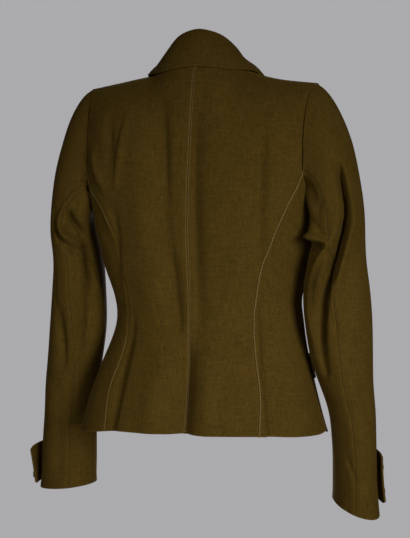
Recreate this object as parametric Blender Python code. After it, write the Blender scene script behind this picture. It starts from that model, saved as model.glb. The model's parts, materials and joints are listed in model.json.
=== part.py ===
"""Fitted wool jacket in its worn form, with nobody in it. Every cloth piece is one closed
sheet with a real wall: the outer side is worked out from the tables below, and the wall
goes inward from it. Metres, +Z up, the front faces -Y, the wearer's left is +X.
The origin is in the middle of the neck at the height of the shoulder seams."""
import bpy
import math
import numpy as np
from mathutils import Vector

for thing in list(bpy.data.objects):
    bpy.data.objects.remove(thing, do_unlink=True)

# ---------------------------------------------------------------- driving sizes (metres)
WALL = 0.0018            # wool cloth with its lining fused on, one wall
COLLAR_WALL = 0.0016
TAB_WALL = 0.0020
CUFF_TAB_WALL = 0.0030
SEAM = 0.0003            # gap between two pieces at a seam
LAY = 0.0004             # gap under a piece that lies on another
HEM_Z = -0.5135          # hem at the centre back
FRONT_HEM_Z = -0.520     # hem at the centre front
PRINCESS_Z = -0.148      # where the curved back seam starts, on the armhole
CHEST_Z = -0.120         # above this the panels arch over to the shoulder seam
UNDERARM_Z = -0.187      # lowest point of the armhole
BREAK_Z = -0.235         # where the lapel starts to turn back
OVERLAP = 0.017          # each front passes the centre front by this much
NECK = (0.068, 0.008, 0.002)        # neck end of the shoulder seam
TIP = (0.172, 0.010, -0.0165)       # armhole end of the shoulder seam
RIGHT_DROP = 0.0035      # the wearer's right shoulder hangs this much lower
SHOULDER_SAG = (0.0008, 0.004)      # how far the left and right shoulder seams dip
NECK_SHIFT = 0.0080      # the centre back seam leans to the wearer's right at the neck
HEM_SWING = (0.0095, 0.0035, 0.0085)  # the hem hangs lower: left side, right side, fronts
NECK_BACK = (0.0, 0.056, 0.020)     # neck seam at the centre back

# numbers of steps along the panels
N_LOW, N_MID, N_ARCH = 13, 2, 6     # rows: hem to curved seam, to chest, over the shoulder
N_BACK, N_NECK, N_SIDE, N_FRONT = 11, 4, 4, 11
N_UNDER = 3              # rows from the underarm to the chest on the front

# torso sections: half width, back and front reach, where the side seam lies, roundness of
# the back and front quarters, depth of the hollow along the centre back, and how much more
# the wearer's left side flares
TORSO_COLS = ("z", "half_w", "back_y", "front_y", "side_y", "back_n", "front_n", "dip", "more")
TORSO = [
    (-0.520, 0.186, 0.120, -0.122, 0.004, 2.15, 2.6, 0.007, 0.0045),
    (-0.456, 0.168, 0.106, -0.116, -0.002, 2.15, 2.5, 0.007, 0.0045),
    (-0.417, 0.155, 0.096, -0.112, -0.006, 2.15, 2.3, 0.006, 0.0010),
    (-0.383, 0.1445, 0.087, -0.108, -0.012, 2.20, 2.2, 0.005, -0.0020),
    (-0.355, 0.1395, 0.082, -0.107, -0.016, 2.25, 2.2, 0.005, -0.0030),
    (-0.330, 0.1400, 0.083, -0.109, -0.016, 2.30, 2.2, 0.005, 0.0000),
    (-0.300, 0.1475, 0.087, -0.116, -0.012, 2.40, 2.3, 0.006, 0.0000),
    (-0.270, 0.1550, 0.092, -0.126, -0.008, 2.60, 2.5, 0.006, 0.0000),
    (-0.235, 0.1605, 0.097, -0.132, -0.004, 2.85, 2.6, 0.007, 0.0000),
    (-0.187, 0.1660, 0.100, -0.132, 0.000, 3.20, 2.6, 0.006, 0.0000),
    (-0.145, 0.1700, 0.100, -0.1245, 0.002, 3.50, 2.6, 0.005, 0.0000),
    (-0.120, 0.1710, 0.098, -0.1180, 0.003, 3.50, 2.5, 0.004, 0.0000),
]
DIP_WIDTH = 0.030

# the curved back seam, as its distance from the centre back
PRINCESS_COLS = ("z", "x", "more")
PRINCESS = [
    (-0.520, 0.1160, 0.0090), (-0.452, 0.1112, 0.0078), (-0.405, 0.1012, 0.0062),
    (-0.360, 0.0952, 0.0048), (-0.315, 0.0975, 0.0025), (-0.270, 0.1100, 0.0005),
    (-0.230, 0.1202, -0.0038), (-0.195, 0.1360, -0.0040), (-0.165, 0.1545, -0.0005),
    (-0.148, 0.1600, 0.0000),
]

# the front edge of a front, as its distance to its own side of the centre front
EDGE_COLS = ("z", "x")
EDGE = [(-0.520, -0.006), (-0.500, -0.0150), (-0.470, -OVERLAP), (-0.300, -OVERLAP),
        (-0.235, -OVERLAP)]

ARM_BACK_X = 0.1605      # armhole at chest height, on the back
ARM_FRONT_X = 0.134      # and on the front

# collar: the crease it turns on, from the centre back round to the shoulder seam
COLLAR_COLS = ("at", "fold_x", "fold_y", "fold_z")
COLLAR = [
    (0.00, 0.0000, 0.0500, 0.0570), (0.25, 0.0190, 0.0465, 0.0540),
    (0.50, 0.0365, 0.0370, 0.0460), (0.75, 0.0490, 0.0210, 0.0345),
    (1.00, 0.0560, 0.0030, 0.0230),
]
COLLAR_ROLL = 0.0042     # how thick the collar is where it turns
# the collar sits a little to the wearer's right
SHIFT = dict(at=(0.0, 0.5, 1.0), x=(-0.0050, -0.0045, -0.0015))

# sleeves: rings down each arm, one table for each side of the body
SLEEVE_COLS = ("z", "x", "y", "half_w", "half_d", "turn", "tilt", "lean", "back_seam")
SLEEVE_L = [
    (-0.6235, 0.2420, -0.0600, 0.0445, 0.0450, 0, 2, 5, 113),
    (-0.580, 0.2390, -0.0570, 0.0430, 0.0460, 0, 5, 3, 114),
    (-0.520, 0.2345, -0.0505, 0.0410, 0.0475, 0, 8, 0, 116),
    (-0.450, 0.2225, -0.0350, 0.0415, 0.0500, 0, 7, 0, 115),
    (-0.375, 0.2062, -0.0150, 0.0425, 0.0530, 0, 6, 0, 104),
    (-0.310, 0.1990, -0.0010, 0.0370, 0.0585, 0, 4, 0, 97),
    (-0.270, 0.1970, 0.0050, 0.0330, 0.0612, 0, 2, 0, 98),
    (-0.230, 0.2002, 0.0100, 0.0322, 0.0625, 0, 0, 0, 94),
]
SLEEVE_R = [
    (-0.628, 0.2165, -0.0400, 0.0328, 0.0510, 25, 4, 17, 112),
    (-0.590, 0.2150, -0.0360, 0.0312, 0.0510, 25, 7, 9, 110),
    (-0.530, 0.2150, -0.0310, 0.0315, 0.0515, 23, 9, 2, 107),
    (-0.490, 0.2140, -0.0260, 0.0335, 0.0520, 18, 9, 0, 102),
    (-0.450, 0.2070, -0.0170, 0.0385, 0.0525, 12, 8, 0, 94),
    (-0.410, 0.2015, -0.0095, 0.0455, 0.0530, 6, 7, 0, 84),
    (-0.360, 0.1992, 0.0000, 0.0485, 0.0550, 0, 5, 0, 78),
    (-0.310, 0.1980, 0.0080, 0.0475, 0.0585, 0, 3, 0, 80),
    (-0.270, 0.2000, 0.0130, 0.0410, 0.0612, 0, 1, 0, 83),
    (-0.230, 0.2038, 0.0160, 0.0343, 0.0625, 0, 0, 0, 97),
]
FRONT_SEAM = 236         # degrees round the ring, on the inner front
CAP_ROWS = 5             # rows over the sleeve head
# rows down the arm as shares of its length, closer together at the elbow
ARM_SHARES = (0.06, 0.13, 0.20, 0.29, 0.39, 0.50, 0.61, 0.72, 0.82, 0.91, 1.0)
CAP_SQUARE = {"l": 1.12, "r": 1.30}    # how square each sleeve head is: less is squarer

# the largest folds: from one end to the other, how far they stand out (or sink, if below
# nothing) and how wide they are. On the back by distance to the wearer's left of the centre
# back, on a sleeve by degrees round its ring.
FOLD_COLS = ("at0", "z0", "at1", "z1", "out", "wide")
BACK_FOLDS = [
    (0.000, -0.385, 0.000, -0.560, -0.0120, 0.013),
    (-0.030, -0.390, -0.036, -0.560, 0.0040, 0.014),
    (0.030, -0.390, 0.034, -0.560, 0.0040, 0.013),
    (-0.108, -0.370, -0.138, -0.560, -0.0045, 0.013),
    (0.083, -0.380, 0.088, -0.560, -0.0035, 0.014),
    (0.102, -0.080, 0.094, -0.160, -0.0030, 0.012),
    (0.042, -0.050, 0.040, -0.372, -0.0075, 0.018),
    (-0.013, -0.070, -0.015, -0.380, -0.0040, 0.012),
    (0.068, -0.090, 0.062, -0.330, 0.0025, 0.018),
]
ARM_FOLDS = {
    "l": [
        (126, -0.212, 147, -0.233, -0.0045, 0.009),
        (130, -0.170, 138, -0.226, 0.0060, 0.015),
        (62, -0.210, 84, -0.240, -0.0040, 0.010),
        (74, -0.350, 92, -0.430, -0.0035, 0.011),
        (138, -0.290, 133, -0.400, -0.0030, 0.012),
        (285, -0.250, 235, -0.270, -0.0050, 0.014),
        (280, -0.225, 240, -0.232, 0.0040, 0.014),
    ],
    "r": [
        (128, -0.225, 142, -0.250, 0.0120, 0.024),
        (100, -0.252, 150, -0.260, -0.0080, 0.009),
        (50, -0.214, 78, -0.262, -0.0085, 0.008),
        (78, -0.262, 104, -0.350, -0.0085, 0.008),
        (42, -0.220, 92, -0.350, 0.0030, 0.010),
        (280, -0.245, 235, -0.262, -0.0050, 0.014),
    ],
}

# cuff tabs: how far up the cuff, how wide, where they start and end round the sleeve, how far
# the upper and lower corner of the free end stand off, and how much that end droops
TAB_COLS = ("up", "deep", "start", "end", "top", "foot", "droop")
TAB = {"l": (0.0085, 0.0585, -66.0, 30.0, 0.0158, 0.0045, 0.0050),
       "r": (0.0135, 0.0680, -82.0, 14.0, 0.0065, 0.0080, 0.0040)}
HIP = dict(row=0.281 * N_LOW, half=0.70, rear=0.52, fore=4.2, button=1.05)
CUFF_BUTTON_R, HIP_BUTTON_R, FRONT_BUTTON_R = 0.0062, 0.0075, 0.0095
BUTTON_T = 0.0028
FRONT_BUTTON_Z = (-0.255, -0.325, -0.395)


# ---------------------------------------------------------------- small tools
def lookup(cols, rows):
    """A smooth reader of a short table: value('name', z) for one z or many."""
    data = np.array(sorted(rows), float)
    key = data[:, 0]
    step = np.diff(key)
    curves = {}
    for k, name in enumerate(cols):
        v = data[:, k]
        d = np.diff(v) / step
        m = np.empty_like(v)
        m[0], m[-1] = d[0], d[-1]
        m[1:-1] = (d[:-1] * step[1:] + d[1:] * step[:-1]) / (step[:-1] + step[1:])
        curves[name] = (v, m)

    def value(name, q):
        v, m = curves[name]
        q = np.clip(np.asarray(q, float), key[0], key[-1])
        i = np.clip(np.searchsorted(key, q) - 1, 0, len(key) - 2)
        t = (q - key[i]) / step[i]
        return ((1 + 2 * t) * (1 - t) ** 2 * v[i] + t * (1 - t) ** 2 * step[i] * m[i]
                + t * t * (3 - 2 * t) * v[i + 1] - t * t * (1 - t) * step[i] * m[i + 1])
    return value


def smooth(t):
    t = np.clip(t, 0.0, 1.0)
    return t * t * (3 - 2 * t)


def lerp(a, b, t):
    return np.asarray(a) + (np.asarray(b) - np.asarray(a)) * t


def spaced(line, n):
    """n + 1 evenly spaced points on a dense line."""
    line = np.asarray(line)
    run = np.concatenate([[0], np.cumsum(np.linalg.norm(np.diff(line, axis=0), axis=1))])
    at = np.linspace(0, run[-1], n + 1)
    return np.stack([np.interp(at, run, line[:, k]) for k in range(3)], axis=1)


def along(grid, axis):
    """Directions along a grid, exact to second order at its edges too."""
    return np.gradient(grid, axis=axis, edge_order=2)


def normals(grid, core):
    """Unit normals of a grid of points, turned away from its core."""
    n = np.cross(along(grid, 1), along(grid, 0))
    n /= np.maximum(np.linalg.norm(n, axis=2, keepdims=True), 1e-12)
    if np.sum(n * (grid - core)) < 0:
        n = -n
    return n


def share(a, at_a, b, at_b):
    """Give two pieces the same normals along their common seam."""
    m = a[at_a] + b[at_b]
    m /= np.linalg.norm(m, axis=-1, keepdims=True)
    a[at_a] = m
    b[at_b] = m


def inset(grid, left=0.0, right=0.0, bottom=0.0, top=0.0):
    """Pull the four edges of a grid in, each by its own distance."""
    g = grid.copy()
    for amount, a, b in ((left, np.s_[:, 0], np.s_[:, 1]), (right, np.s_[:, -1], np.s_[:, -2]),
                         (bottom, np.s_[0], np.s_[1]), (top, np.s_[-1], np.s_[-2])):
        step = g[b] - g[a]
        g[a] = g[a] + step / np.linalg.norm(step, axis=1, keepdims=True) * amount
    return g


def pushed(grid, core, at, folds, scale):
    """Move a grid in or out from its core along the folds of a table."""
    out = grid.copy()
    away = grid - core
    away /= np.linalg.norm(away, axis=2, keepdims=True)
    push = np.zeros(grid.shape[:2])
    px, pz = at * scale, grid[..., 2]
    if scale != 1.0:
        px = np.radians(at) * scale
    for a0, z0, a1, z1, amount, wide in folds:
        x0, x1 = (math.radians(a0) * scale, math.radians(a1) * scale) if scale != 1.0 else (a0, a1)
        dx, dz = x1 - x0, z1 - z0
        t = ((px - x0) * dx + (pz - z0) * dz) / (dx * dx + dz * dz)
        near = np.clip(t, 0, 1)
        d = np.hypot(px - x0 - near * dx, pz - z0 - near * dz)
        push += amount * np.exp(-(d / wide) ** 2) * (0.35 + 0.65 * np.sin(math.pi * near) ** 0.6)
    return out + away * push[..., None]


# ---------------------------------------------------------------- materials
def material(name, colour, rough):
    m = bpy.data.materials.new(name)
    m.use_nodes = True
    b = m.node_tree.nodes["Principled BSDF"]
    b.inputs["Base Color"].default_value = (*colour, 1.0)
    b.inputs["Roughness"].default_value = rough
    m.diffuse_color = (*colour, 1.0)
    return m


def dress(obj, colour, rough):
    obj.data.materials.append(material("m_" + obj.name, colour, rough))


CLOTH = (0.060, 0.036, 0.009)
HORN = (0.085, 0.062, 0.040)


def sheet_object(name, face, wall, core, n=None):
    """One closed piece of cloth from the points of its outer side."""
    face = np.asarray(face)
    if n is None:
        n = normals(face, core)
    back = face - n * wall
    rows, cols = face.shape[:2]
    verts = np.concatenate([face.reshape(-1, 3), back.reshape(-1, 3)])
    half = rows * cols
    ident = np.arange(half).reshape(rows, cols)
    faces = []
    for r in range(rows - 1):
        for c in range(cols - 1):
            q = [int(i) for i in (ident[r, c], ident[r, c + 1], ident[r + 1, c + 1],
                                  ident[r + 1, c])]
            if (np.linalg.norm(verts[q[1]] - verts[q[3]])       # split on the shorter diagonal
                    < np.linalg.norm(verts[q[0]] - verts[q[2]])):
                q = q[1:] + q[:1]
            for tri in ((q[0], q[1], q[2]), (q[0], q[2], q[3])):
                faces.append(tri)
                faces.append(tuple(i + half for i in reversed(tri)))
    rim = ([(0, c) for c in range(cols)] + [(r, cols - 1) for r in range(1, rows)]
           + [(rows - 1, c) for c in range(cols - 2, -1, -1)]
           + [(r, 0) for r in range(rows - 2, 0, -1)])
    for k, a in enumerate(rim):
        b = rim[(k + 1) % len(rim)]
        i, j = int(ident[a]), int(ident[b])
        faces.append((j, i, i + half, j + half))
    mesh = bpy.data.meshes.new(name)
    mesh.from_pydata([tuple(float(q) for q in v) for v in verts], [], faces)
    mesh.validate()
    # the volume tells which way round the faces are
    vol = 0.0
    for f in faces:
        p = verts[list(f)]
        for k in range(1, len(f) - 1):
            vol += np.dot(p[0], np.cross(p[k], p[k + 1]))
    if vol < 0:
        mesh.flip_normals()
    obj = bpy.data.objects.new(name, mesh)
    bpy.context.collection.objects.link(obj)
    dress(obj, CLOTH, 0.85)
    return obj


# ---------------------------------------------------------------- torso
torso_at = lookup(TORSO_COLS, TORSO)
princess_at = lookup(PRINCESS_COLS, PRINCESS)
edge_at = lookup(EDGE_COLS, EDGE)


def torso_point(side, a, z):
    """A point of the torso. a runs 0 centre back, 1 side seam, 2 centre front."""
    a, z = np.asarray(a, float), np.asarray(z, float)
    zz = np.clip(z, TORSO[0][0], TORSO[-1][0])
    w = torso_at("half_w", zz) + side * torso_at("more", zz)
    mid = torso_at("side_y", zz)
    n = np.where(a < 1, torso_at("back_n", zz), torso_at("front_n", zz))
    s, c = np.sin(a * math.pi / 2), np.cos(a * math.pi / 2)
    x = w * np.sign(s) * np.abs(s) ** (2 / n)
    reach = np.where(a < 1, torso_at("back_y", zz) - mid, mid - torso_at("front_y", zz))
    y = mid + np.sign(c) * reach * np.abs(c) ** (2 / n)
    y = y - np.where(a < 1, torso_at("dip", zz) * np.exp(-(x / DIP_WIDTH) ** 2), 0.0)
    return np.stack([side * x, y, z + 0 * x], axis=-1)


def princess_x(side, z):
    return princess_at("x", z) + side * princess_at("more", z)


def back_a(side, x, z):
    w = torso_at("half_w", z) + side * torso_at("more", z)
    return 2 / math.pi * np.arcsin(np.clip(x / w, 0, 1) ** (torso_at("back_n", z) / 2))


def front_a(side, x, z):
    w = torso_at("half_w", z) + side * torso_at("more", z)
    u = np.clip(np.abs(x) / w, 0, 1) ** (torso_at("front_n", z) / 2)
    return 2 - 2 / math.pi * np.sign(x) * np.arcsin(u)


def torso_row(side, a0, z0, a1, z1, n, curve=1.0):
    """One row across the torso, evenly spaced, from (a0, z0) to (a1, z1)."""
    t = np.linspace(0, 1, 161)
    z = z0 + (z1 - z0) * t ** curve
    return spaced(torso_point(side, a0 + (a1 - a0) * t, z), n)


def arch(low, top, psi, straight):
    """From the chest row over to the shoulder seam; psi runs 0 to 90 degrees."""
    out, up = 1 - math.cos(psi), math.sin(psi)
    p = low + (top - low) * up
    p[:, 0] = low[:, 0] + (top[:, 0] - low[:, 0]) * ((1 - straight) * out + straight * up)
    p[:, 1] = low[:, 1] + (top[:, 1] - low[:, 1]) * out
    return p


def shoulder(side, n):
    """The shoulder seam from the neck to the armhole."""
    t = np.linspace(0, 1, n + 1)[:, None]
    p = lerp(NECK, TIP, t)
    p[:, 2] -= RIGHT_DROP * t[:, 0] * (side < 0)
    sag = SHOULDER_SAG[0 if side > 0 else 1]
    p[:, 2] -= sag * np.sin(math.pi * t[:, 0]) * (1.25 - 0.5 * t[:, 0])
    p[:, 0] *= side
    return p


def back_neck(side, n):
    """The neck seam from the centre back to the shoulder seam."""
    t = np.linspace(0, 1, n + 1)
    x = NECK[0] * np.sin(t * math.pi / 2)
    y = NECK[1] + (NECK_BACK[1] - NECK[1]) * np.cos(t * math.pi / 2) ** 1.0
    z = NECK[2] + (NECK_BACK[2] - NECK[2]) * np.cos(t * math.pi / 2) ** 1.3
    return np.stack([side * x, y, z], axis=1)


def swung(grid, side):
    """Let the hem hang lower at the sides and fronts."""
    x, y, z = np.abs(grid[..., 0]), grid[..., 1], grid[..., 2]
    beside = HEM_SWING[0 if side > 0 else 1] * smooth((x - 0.090) / 0.100)
    ahead = HEM_SWING[2] * smooth(-y / 0.050) * smooth(x / 0.110)
    out = grid.copy()
    out[..., 2] -= np.maximum(beside, ahead) * smooth((-0.380 - z) / 0.130)
    out[..., 0] -= NECK_SHIFT * smooth((z + 0.260) / 0.260) * np.exp(-(x / 0.060) ** 2) * smooth(
        y / 0.030)
    return out


LOW_T = np.linspace(0, 1, N_LOW + 1)


def back_grid(side):
    rows = []
    for t in LOW_T:
        z = HEM_Z + (PRINCESS_Z - HEM_Z) * t
        a = back_a(side, princess_x(side, z), z)
        rows.append(torso_row(side, 0, z, a, z, N_BACK))
    for t in np.linspace(0, 1, N_MID + 1)[1:]:
        z = PRINCESS_Z + (CHEST_Z - PRINCESS_Z) * t
        x = PRINCESS[-1][1] + (ARM_BACK_X - PRINCESS[-1][1]) * t
        rows.append(torso_row(side, 0, z, back_a(side, x, z), z, N_BACK))
    low = rows[-1]
    top = np.concatenate([back_neck(side, N_NECK), shoulder(side, N_BACK - N_NECK)[1:]])
    for k in range(1, N_ARCH + 1):
        rows.append(arch(low, top, math.pi / 2 * k / N_ARCH, 0.0))
    return np.array(rows)


def side_back_grid(side):
    """From the curved back seam to the side seam; the top follows the armhole."""
    cols = []
    c = np.linspace(0, 1, N_SIDE + 1)
    top = UNDERARM_Z + (PRINCESS_Z - UNDERARM_Z) * (1 - c) ** 1.7
    rows = []
    for t in LOW_T:
        z = HEM_Z + (top - HEM_Z) * t
        z0 = HEM_Z + (PRINCESS_Z - HEM_Z) * t
        a0 = back_a(side, princess_x(side, z0), z0)
        a = a0 + (1 - a0) * c
        rows.append(torso_point(side, a, z))
    return np.array(rows)


def front_grid(side):
    """From the side seam to the front edge, then from the armhole to the roll line."""
    rows = []
    for t in LOW_T:
        z0 = HEM_Z + (UNDERARM_Z - HEM_Z) * t
        z1 = FRONT_HEM_Z + (BREAK_Z - FRONT_HEM_Z) * t
        a1 = front_a(side, edge_at("x", z1), z1)
        rows.append(torso_row(side, 1, z0, a1, z1, N_FRONT))
    a_top = front_a(side, ARM_FRONT_X, CHEST_Z)
    for k in range(1, N_UNDER + 1):
        t = k / N_UNDER
        z0 = UNDERARM_Z + (CHEST_Z - UNDERARM_Z) * t ** 1.35
        a0 = 1 + (a_top - 1) * t ** 0.7
        z1 = BREAK_Z + (CHEST_Z - BREAK_Z) * t
        x1 = -OVERLAP + (NECK[0] + OVERLAP) * (z1 - BREAK_Z) / (NECK[2] - BREAK_Z)
        rows.append(torso_row(side, a0, z0, front_a(side, x1, z1), z1, N_FRONT))
    low = rows[-1]
    top = shoulder(side, N_FRONT)[::-1]
    straight = np.linspace(0, 1, N_FRONT + 1)
    for k in range(1, N_ARCH + 1):
        rows.append(arch(low, top, math.pi / 2 * k / N_ARCH, straight))
    return np.array(rows)


def layered(grid, side):
    """The right front lies over the left one, so it is moved out near the centre front."""
    n = normals(grid, CORE(grid))
    own = grid[..., 0] * side
    lift = smooth((0.050 - own) / 0.028) * smooth((-0.130 - grid[..., 2]) / 0.060)
    return grid + n * (lift * (WALL + 0.0012))[..., None] * (side < 0)


def CORE(grid):
    """The middle of the body at the height of each point."""
    c = np.zeros_like(grid)
    c[..., 1] = -0.005
    c[..., 2] = np.minimum(grid[..., 2], -0.080)
    return c


S2 = SEAM / 2
panels = {}
for side, tag in ((1, "l"), (-1, "r")):
    raw_back, raw_side, raw_front = (swung(made(side), side) for made in
                                     (back_grid, side_back_grid, front_grid))
    raw_back = pushed(raw_back, CORE(raw_back), raw_back[..., 0], BACK_FOLDS, 1.0)
    raw_side = pushed(raw_side, CORE(raw_side), raw_side[..., 0], BACK_FOLDS, 1.0)
    back = inset(raw_back, left=S2, right=S2, top=S2)
    sideb = inset(raw_side, left=S2, right=S2)
    front = layered(inset(raw_front, left=S2, top=S2), side)
    panels[tag] = dict(back=raw_back, side=raw_side, front=raw_front, worn=front)
    nb, ns, nf = (normals(g, CORE(g)) for g in (raw_back, raw_side, front))
    share(nb, np.s_[:N_LOW + 1, -1], ns, np.s_[:, 0])
    share(ns, np.s_[:, -1], nf, np.s_[:N_LOW + 1, 0])
    nb[:, 0, 0] = 0
    nb[:, 0] /= np.linalg.norm(nb[:, 0], axis=-1, keepdims=True)
    sheet_object("back_" + tag, back, WALL, CORE(back), nb)
    sheet_object("side_back_" + tag, sideb, WALL, CORE(sideb), ns)
    sheet_object("front_" + tag, front, WALL, CORE(front), nf)

# ---------------------------------------------------------------- sleeves
sleeve_at = {"l": lookup(SLEEVE_COLS, SLEEVE_L), "r": lookup(SLEEVE_COLS, SLEEVE_R)}


def ring(tag, z, deg):
    """Points of the sleeve ring at height z; 0 degrees is the outer side, 90 the back."""
    at, side = sleeve_at[tag], 1 if tag == "l" else -1
    w = np.radians(deg)
    p, q = at("half_w", z) * np.cos(w), at("half_d", z) * np.sin(w)
    turn, tilt, lean = (np.radians(at(k, z)) for k in ("turn", "tilt", "lean"))
    p, q = p * np.cos(turn) + q * np.sin(turn), -p * np.sin(turn) + q * np.cos(turn)
    return np.stack([side * (at("x", z) + p), at("y", z) + q * np.cos(tilt),
                     z - q * np.sin(tilt) - p * np.sin(lean)], axis=-1)


def armhole(tag):
    """The armhole from the shoulder tip down the back to the underarm and up the front."""
    g = panels[tag]
    back = g["back"][:, -1][::-1][:N_ARCH + N_MID + 1]
    under = g["side"][-1][1:]
    front = g["front"][:, 0][N_LOW + 1:]
    return np.concatenate([back, under, front[:-1]])


def outward(tag, loop):
    """Directions from the armhole into its opening and off the torso."""
    side = 1 if tag == "l" else -1
    mid = loop.mean(axis=0)
    into = mid - loop
    into[:, 0] = 0
    into /= np.linalg.norm(into, axis=1, keepdims=True)
    off = np.zeros_like(loop)
    off[:, 0] = side
    return into, off


I_BACK = N_ARCH + N_MID                     # the back seam meets the armhole here
I_UNDER = I_BACK + N_SIDE                   # the underarm
I_FRONT = I_UNDER + N_UNDER - 1             # the front seam meets the armhole here
I_ALL = I_UNDER + N_UNDER + N_ARCH
TOP_RING = SLEEVE_L[-1][0]


def sleeve_grids(tag):
    side = 1 if tag == "l" else -1
    loop = armhole(tag)
    into, off = outward(tag, loop)
    start = loop + into * 0.0003 + off * 0.0005
    # degrees of the columns: shoulder point 0, back seam, underarm 180, front seam
    def degrees(z):
        seam = float(sleeve_at[tag]("back_seam", z))
        keys = [0, I_BACK, I_UNDER, I_FRONT, I_ALL]
        vals = [0, seam, 180 + (seam - 90) * 0.25, FRONT_SEAM, 360]
        return np.interp(np.arange(I_ALL + 1), keys, vals)
    rows = [start]
    deg = degrees(TOP_RING)[:-1]
    goal = ring(tag, TOP_RING, deg)
    for k in range(1, CAP_ROWS + 1):
        psi = math.pi / 2 * k / CAP_ROWS
        down, out = 1 - math.cos(psi), math.sin(psi) ** CAP_SQUARE[tag]
        p = start + (goal - start) * out
        p[:, 2] = start[:, 2] + (goal[:, 2] - start[:, 2]) * down
        rows.append(p)
    low = float(sleeve_at[tag]("z", -1.0))
    for share in ARM_SHARES:
        z = TOP_RING + (low - TOP_RING) * share
        rows.append(ring(tag, z, degrees(z)[:-1]))
    whole = np.array(rows)
    angle = np.array([degrees(max(low, min(TOP_RING, z)))[:-1] for z in whole[:, 0, 2]])
    whole[1:] = pushed(whole, sleeve_core(tag, whole), angle, ARM_FOLDS[tag], 0.050)[1:]
    upper = np.concatenate([whole[:, I_FRONT:], whole[:, :I_BACK + 1]], axis=1)
    under = whole[:, I_BACK:I_FRONT + 1]
    return whole, upper, under


def sleeve_core(tag, grid):
    """The middle of the sleeve at the height of each point."""
    side = 1 if tag == "l" else -1
    c = np.zeros_like(grid)
    z = np.clip(grid[..., 2], -0.628, TOP_RING)
    c[..., 0] = side * sleeve_at[tag]("x", z)
    c[..., 1] = sleeve_at[tag]("y", z)
    c[..., 2] = np.minimum(grid[..., 2], -0.120)
    return c


for tag in ("l", "r"):
    whole, upper, under = sleeve_grids(tag)
    round_it = np.concatenate([whole[:, -2:], whole, whole[:, :2]], axis=1)
    n = normals(round_it, sleeve_core(tag, round_it))[:, 2:-2]
    n_upper = np.concatenate([n[:, I_FRONT:], n[:, :I_BACK + 1]], axis=1)
    n_under = n[:, I_BACK:I_FRONT + 1]
    upper = inset(upper, left=S2, right=S2)
    under = inset(under, left=S2, right=S2)
    sheet_object("sleeve_upper_" + tag, upper, WALL, sleeve_core(tag, upper), n_upper)
    sheet_object("sleeve_under_" + tag, under, WALL, sleeve_core(tag, under), n_under)


# ---------------------------------------------------------------- pieces that lie on others
def on_panel(grid, core, row, col, off):
    """Points of a panel at fractional rows and columns, moved out by off."""
    n = normals(grid, core)
    row, col = np.asarray(row, float), np.asarray(col, float)
    r = np.clip(row.astype(int), 0, grid.shape[0] - 2)
    c = np.clip(col.astype(int), 0, grid.shape[1] - 2)
    fr, fc = (row - r)[..., None], (col - c)[..., None]

    def pick(g):
        return ((g[r, c] * (1 - fc) + g[r, c + 1] * fc) * (1 - fr)
                + (g[r + 1, c] * (1 - fc) + g[r + 1, c + 1] * fc) * fr)
    m = pick(n)
    m /= np.linalg.norm(m, axis=-1, keepdims=True)
    return pick(grid) + m * np.asarray(off)[..., None], m


ROW_BREAK = N_LOW
ROW_CHEST = N_LOW + N_UNDER
ROW_TOP = N_LOW + N_UNDER + N_ARCH
GORGE = ROW_TOP - 2.75               # row where collar and lapel meet at the roll line

# lapel: how far up the front and how many columns wide, from its foot to the gorge
LAPEL_COLS = ("at", "wide")
LAPEL = [(0.00, 0.15), (0.15, 1.3), (0.30, 2.7), (0.50, 4.5), (0.75, 6.3), (1.00, 7.6)]
lapel_at = lookup(LAPEL_COLS, LAPEL)
GORGE_SLOPE = 0.21                   # rows the gorge drops for each column outwards


def lapel(tag):
    """The turned-back top of a front; the left one is tucked under the right front's edge."""
    g = panels[tag]["worn"]
    foot = ROW_BREAK + (0.90 if tag == "l" else 0.12)
    t = np.linspace(0, 1, 10)[:, None]
    u = np.linspace(0, 1, 6)[None, :]
    level = foot + (GORGE - foot) * t
    wide = lapel_at("wide", (level - ROW_BREAK) / (GORGE - ROW_BREAK))
    tuck = np.maximum(0.0, ROW_BREAK + 1.25 - level) * 2.3 * (tag == "l")
    col = N_FRONT - (tuck + (wide - tuck) * (1 - u))
    row = level - GORGE_SLOPE * (N_FRONT - col) * t ** 2
    off = LAY + WALL + 0.0012 + 0.0014 * (1 - u) * t
    p, _ = on_panel(g, CORE(g), row, col, off)
    return p


for tag in ("l", "r"):
    face = lapel(tag)
    sheet_object("lapel_" + tag, face, WALL, CORE(face))


# collar: neck seam, crease and fall, column by column; the fall's edge lies on the panels
fold_at = lookup(COLLAR_COLS, COLLAR)
EDGE_BACK = dict(at=(0.0, 0.25, 0.5, 0.75, 1.0), row=(-2.0, -1.95, -1.72, -1.22, -0.48),
                 col=(0.0, 1.2, 2.5, 3.8, 4.9))
EDGE_FRONT = dict(at=(0.0, 0.33, 0.66, 1.0), row=(0.0, -1.0, -2.1, -3.25),
                  col=(9.5, 8.3, 7.0, 5.8))
EDGE_SIDE = dict(at=(0.0, 0.5, 0.75, 1.0), l=(0.0, 0.0, 0.1, 0.15), r=(0.0, 0.0, -0.25, -0.30))
FALL = (0.30, 0.56, 0.80, 1.0)
LIE = LAY + COLLAR_WALL + 0.0016


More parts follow.
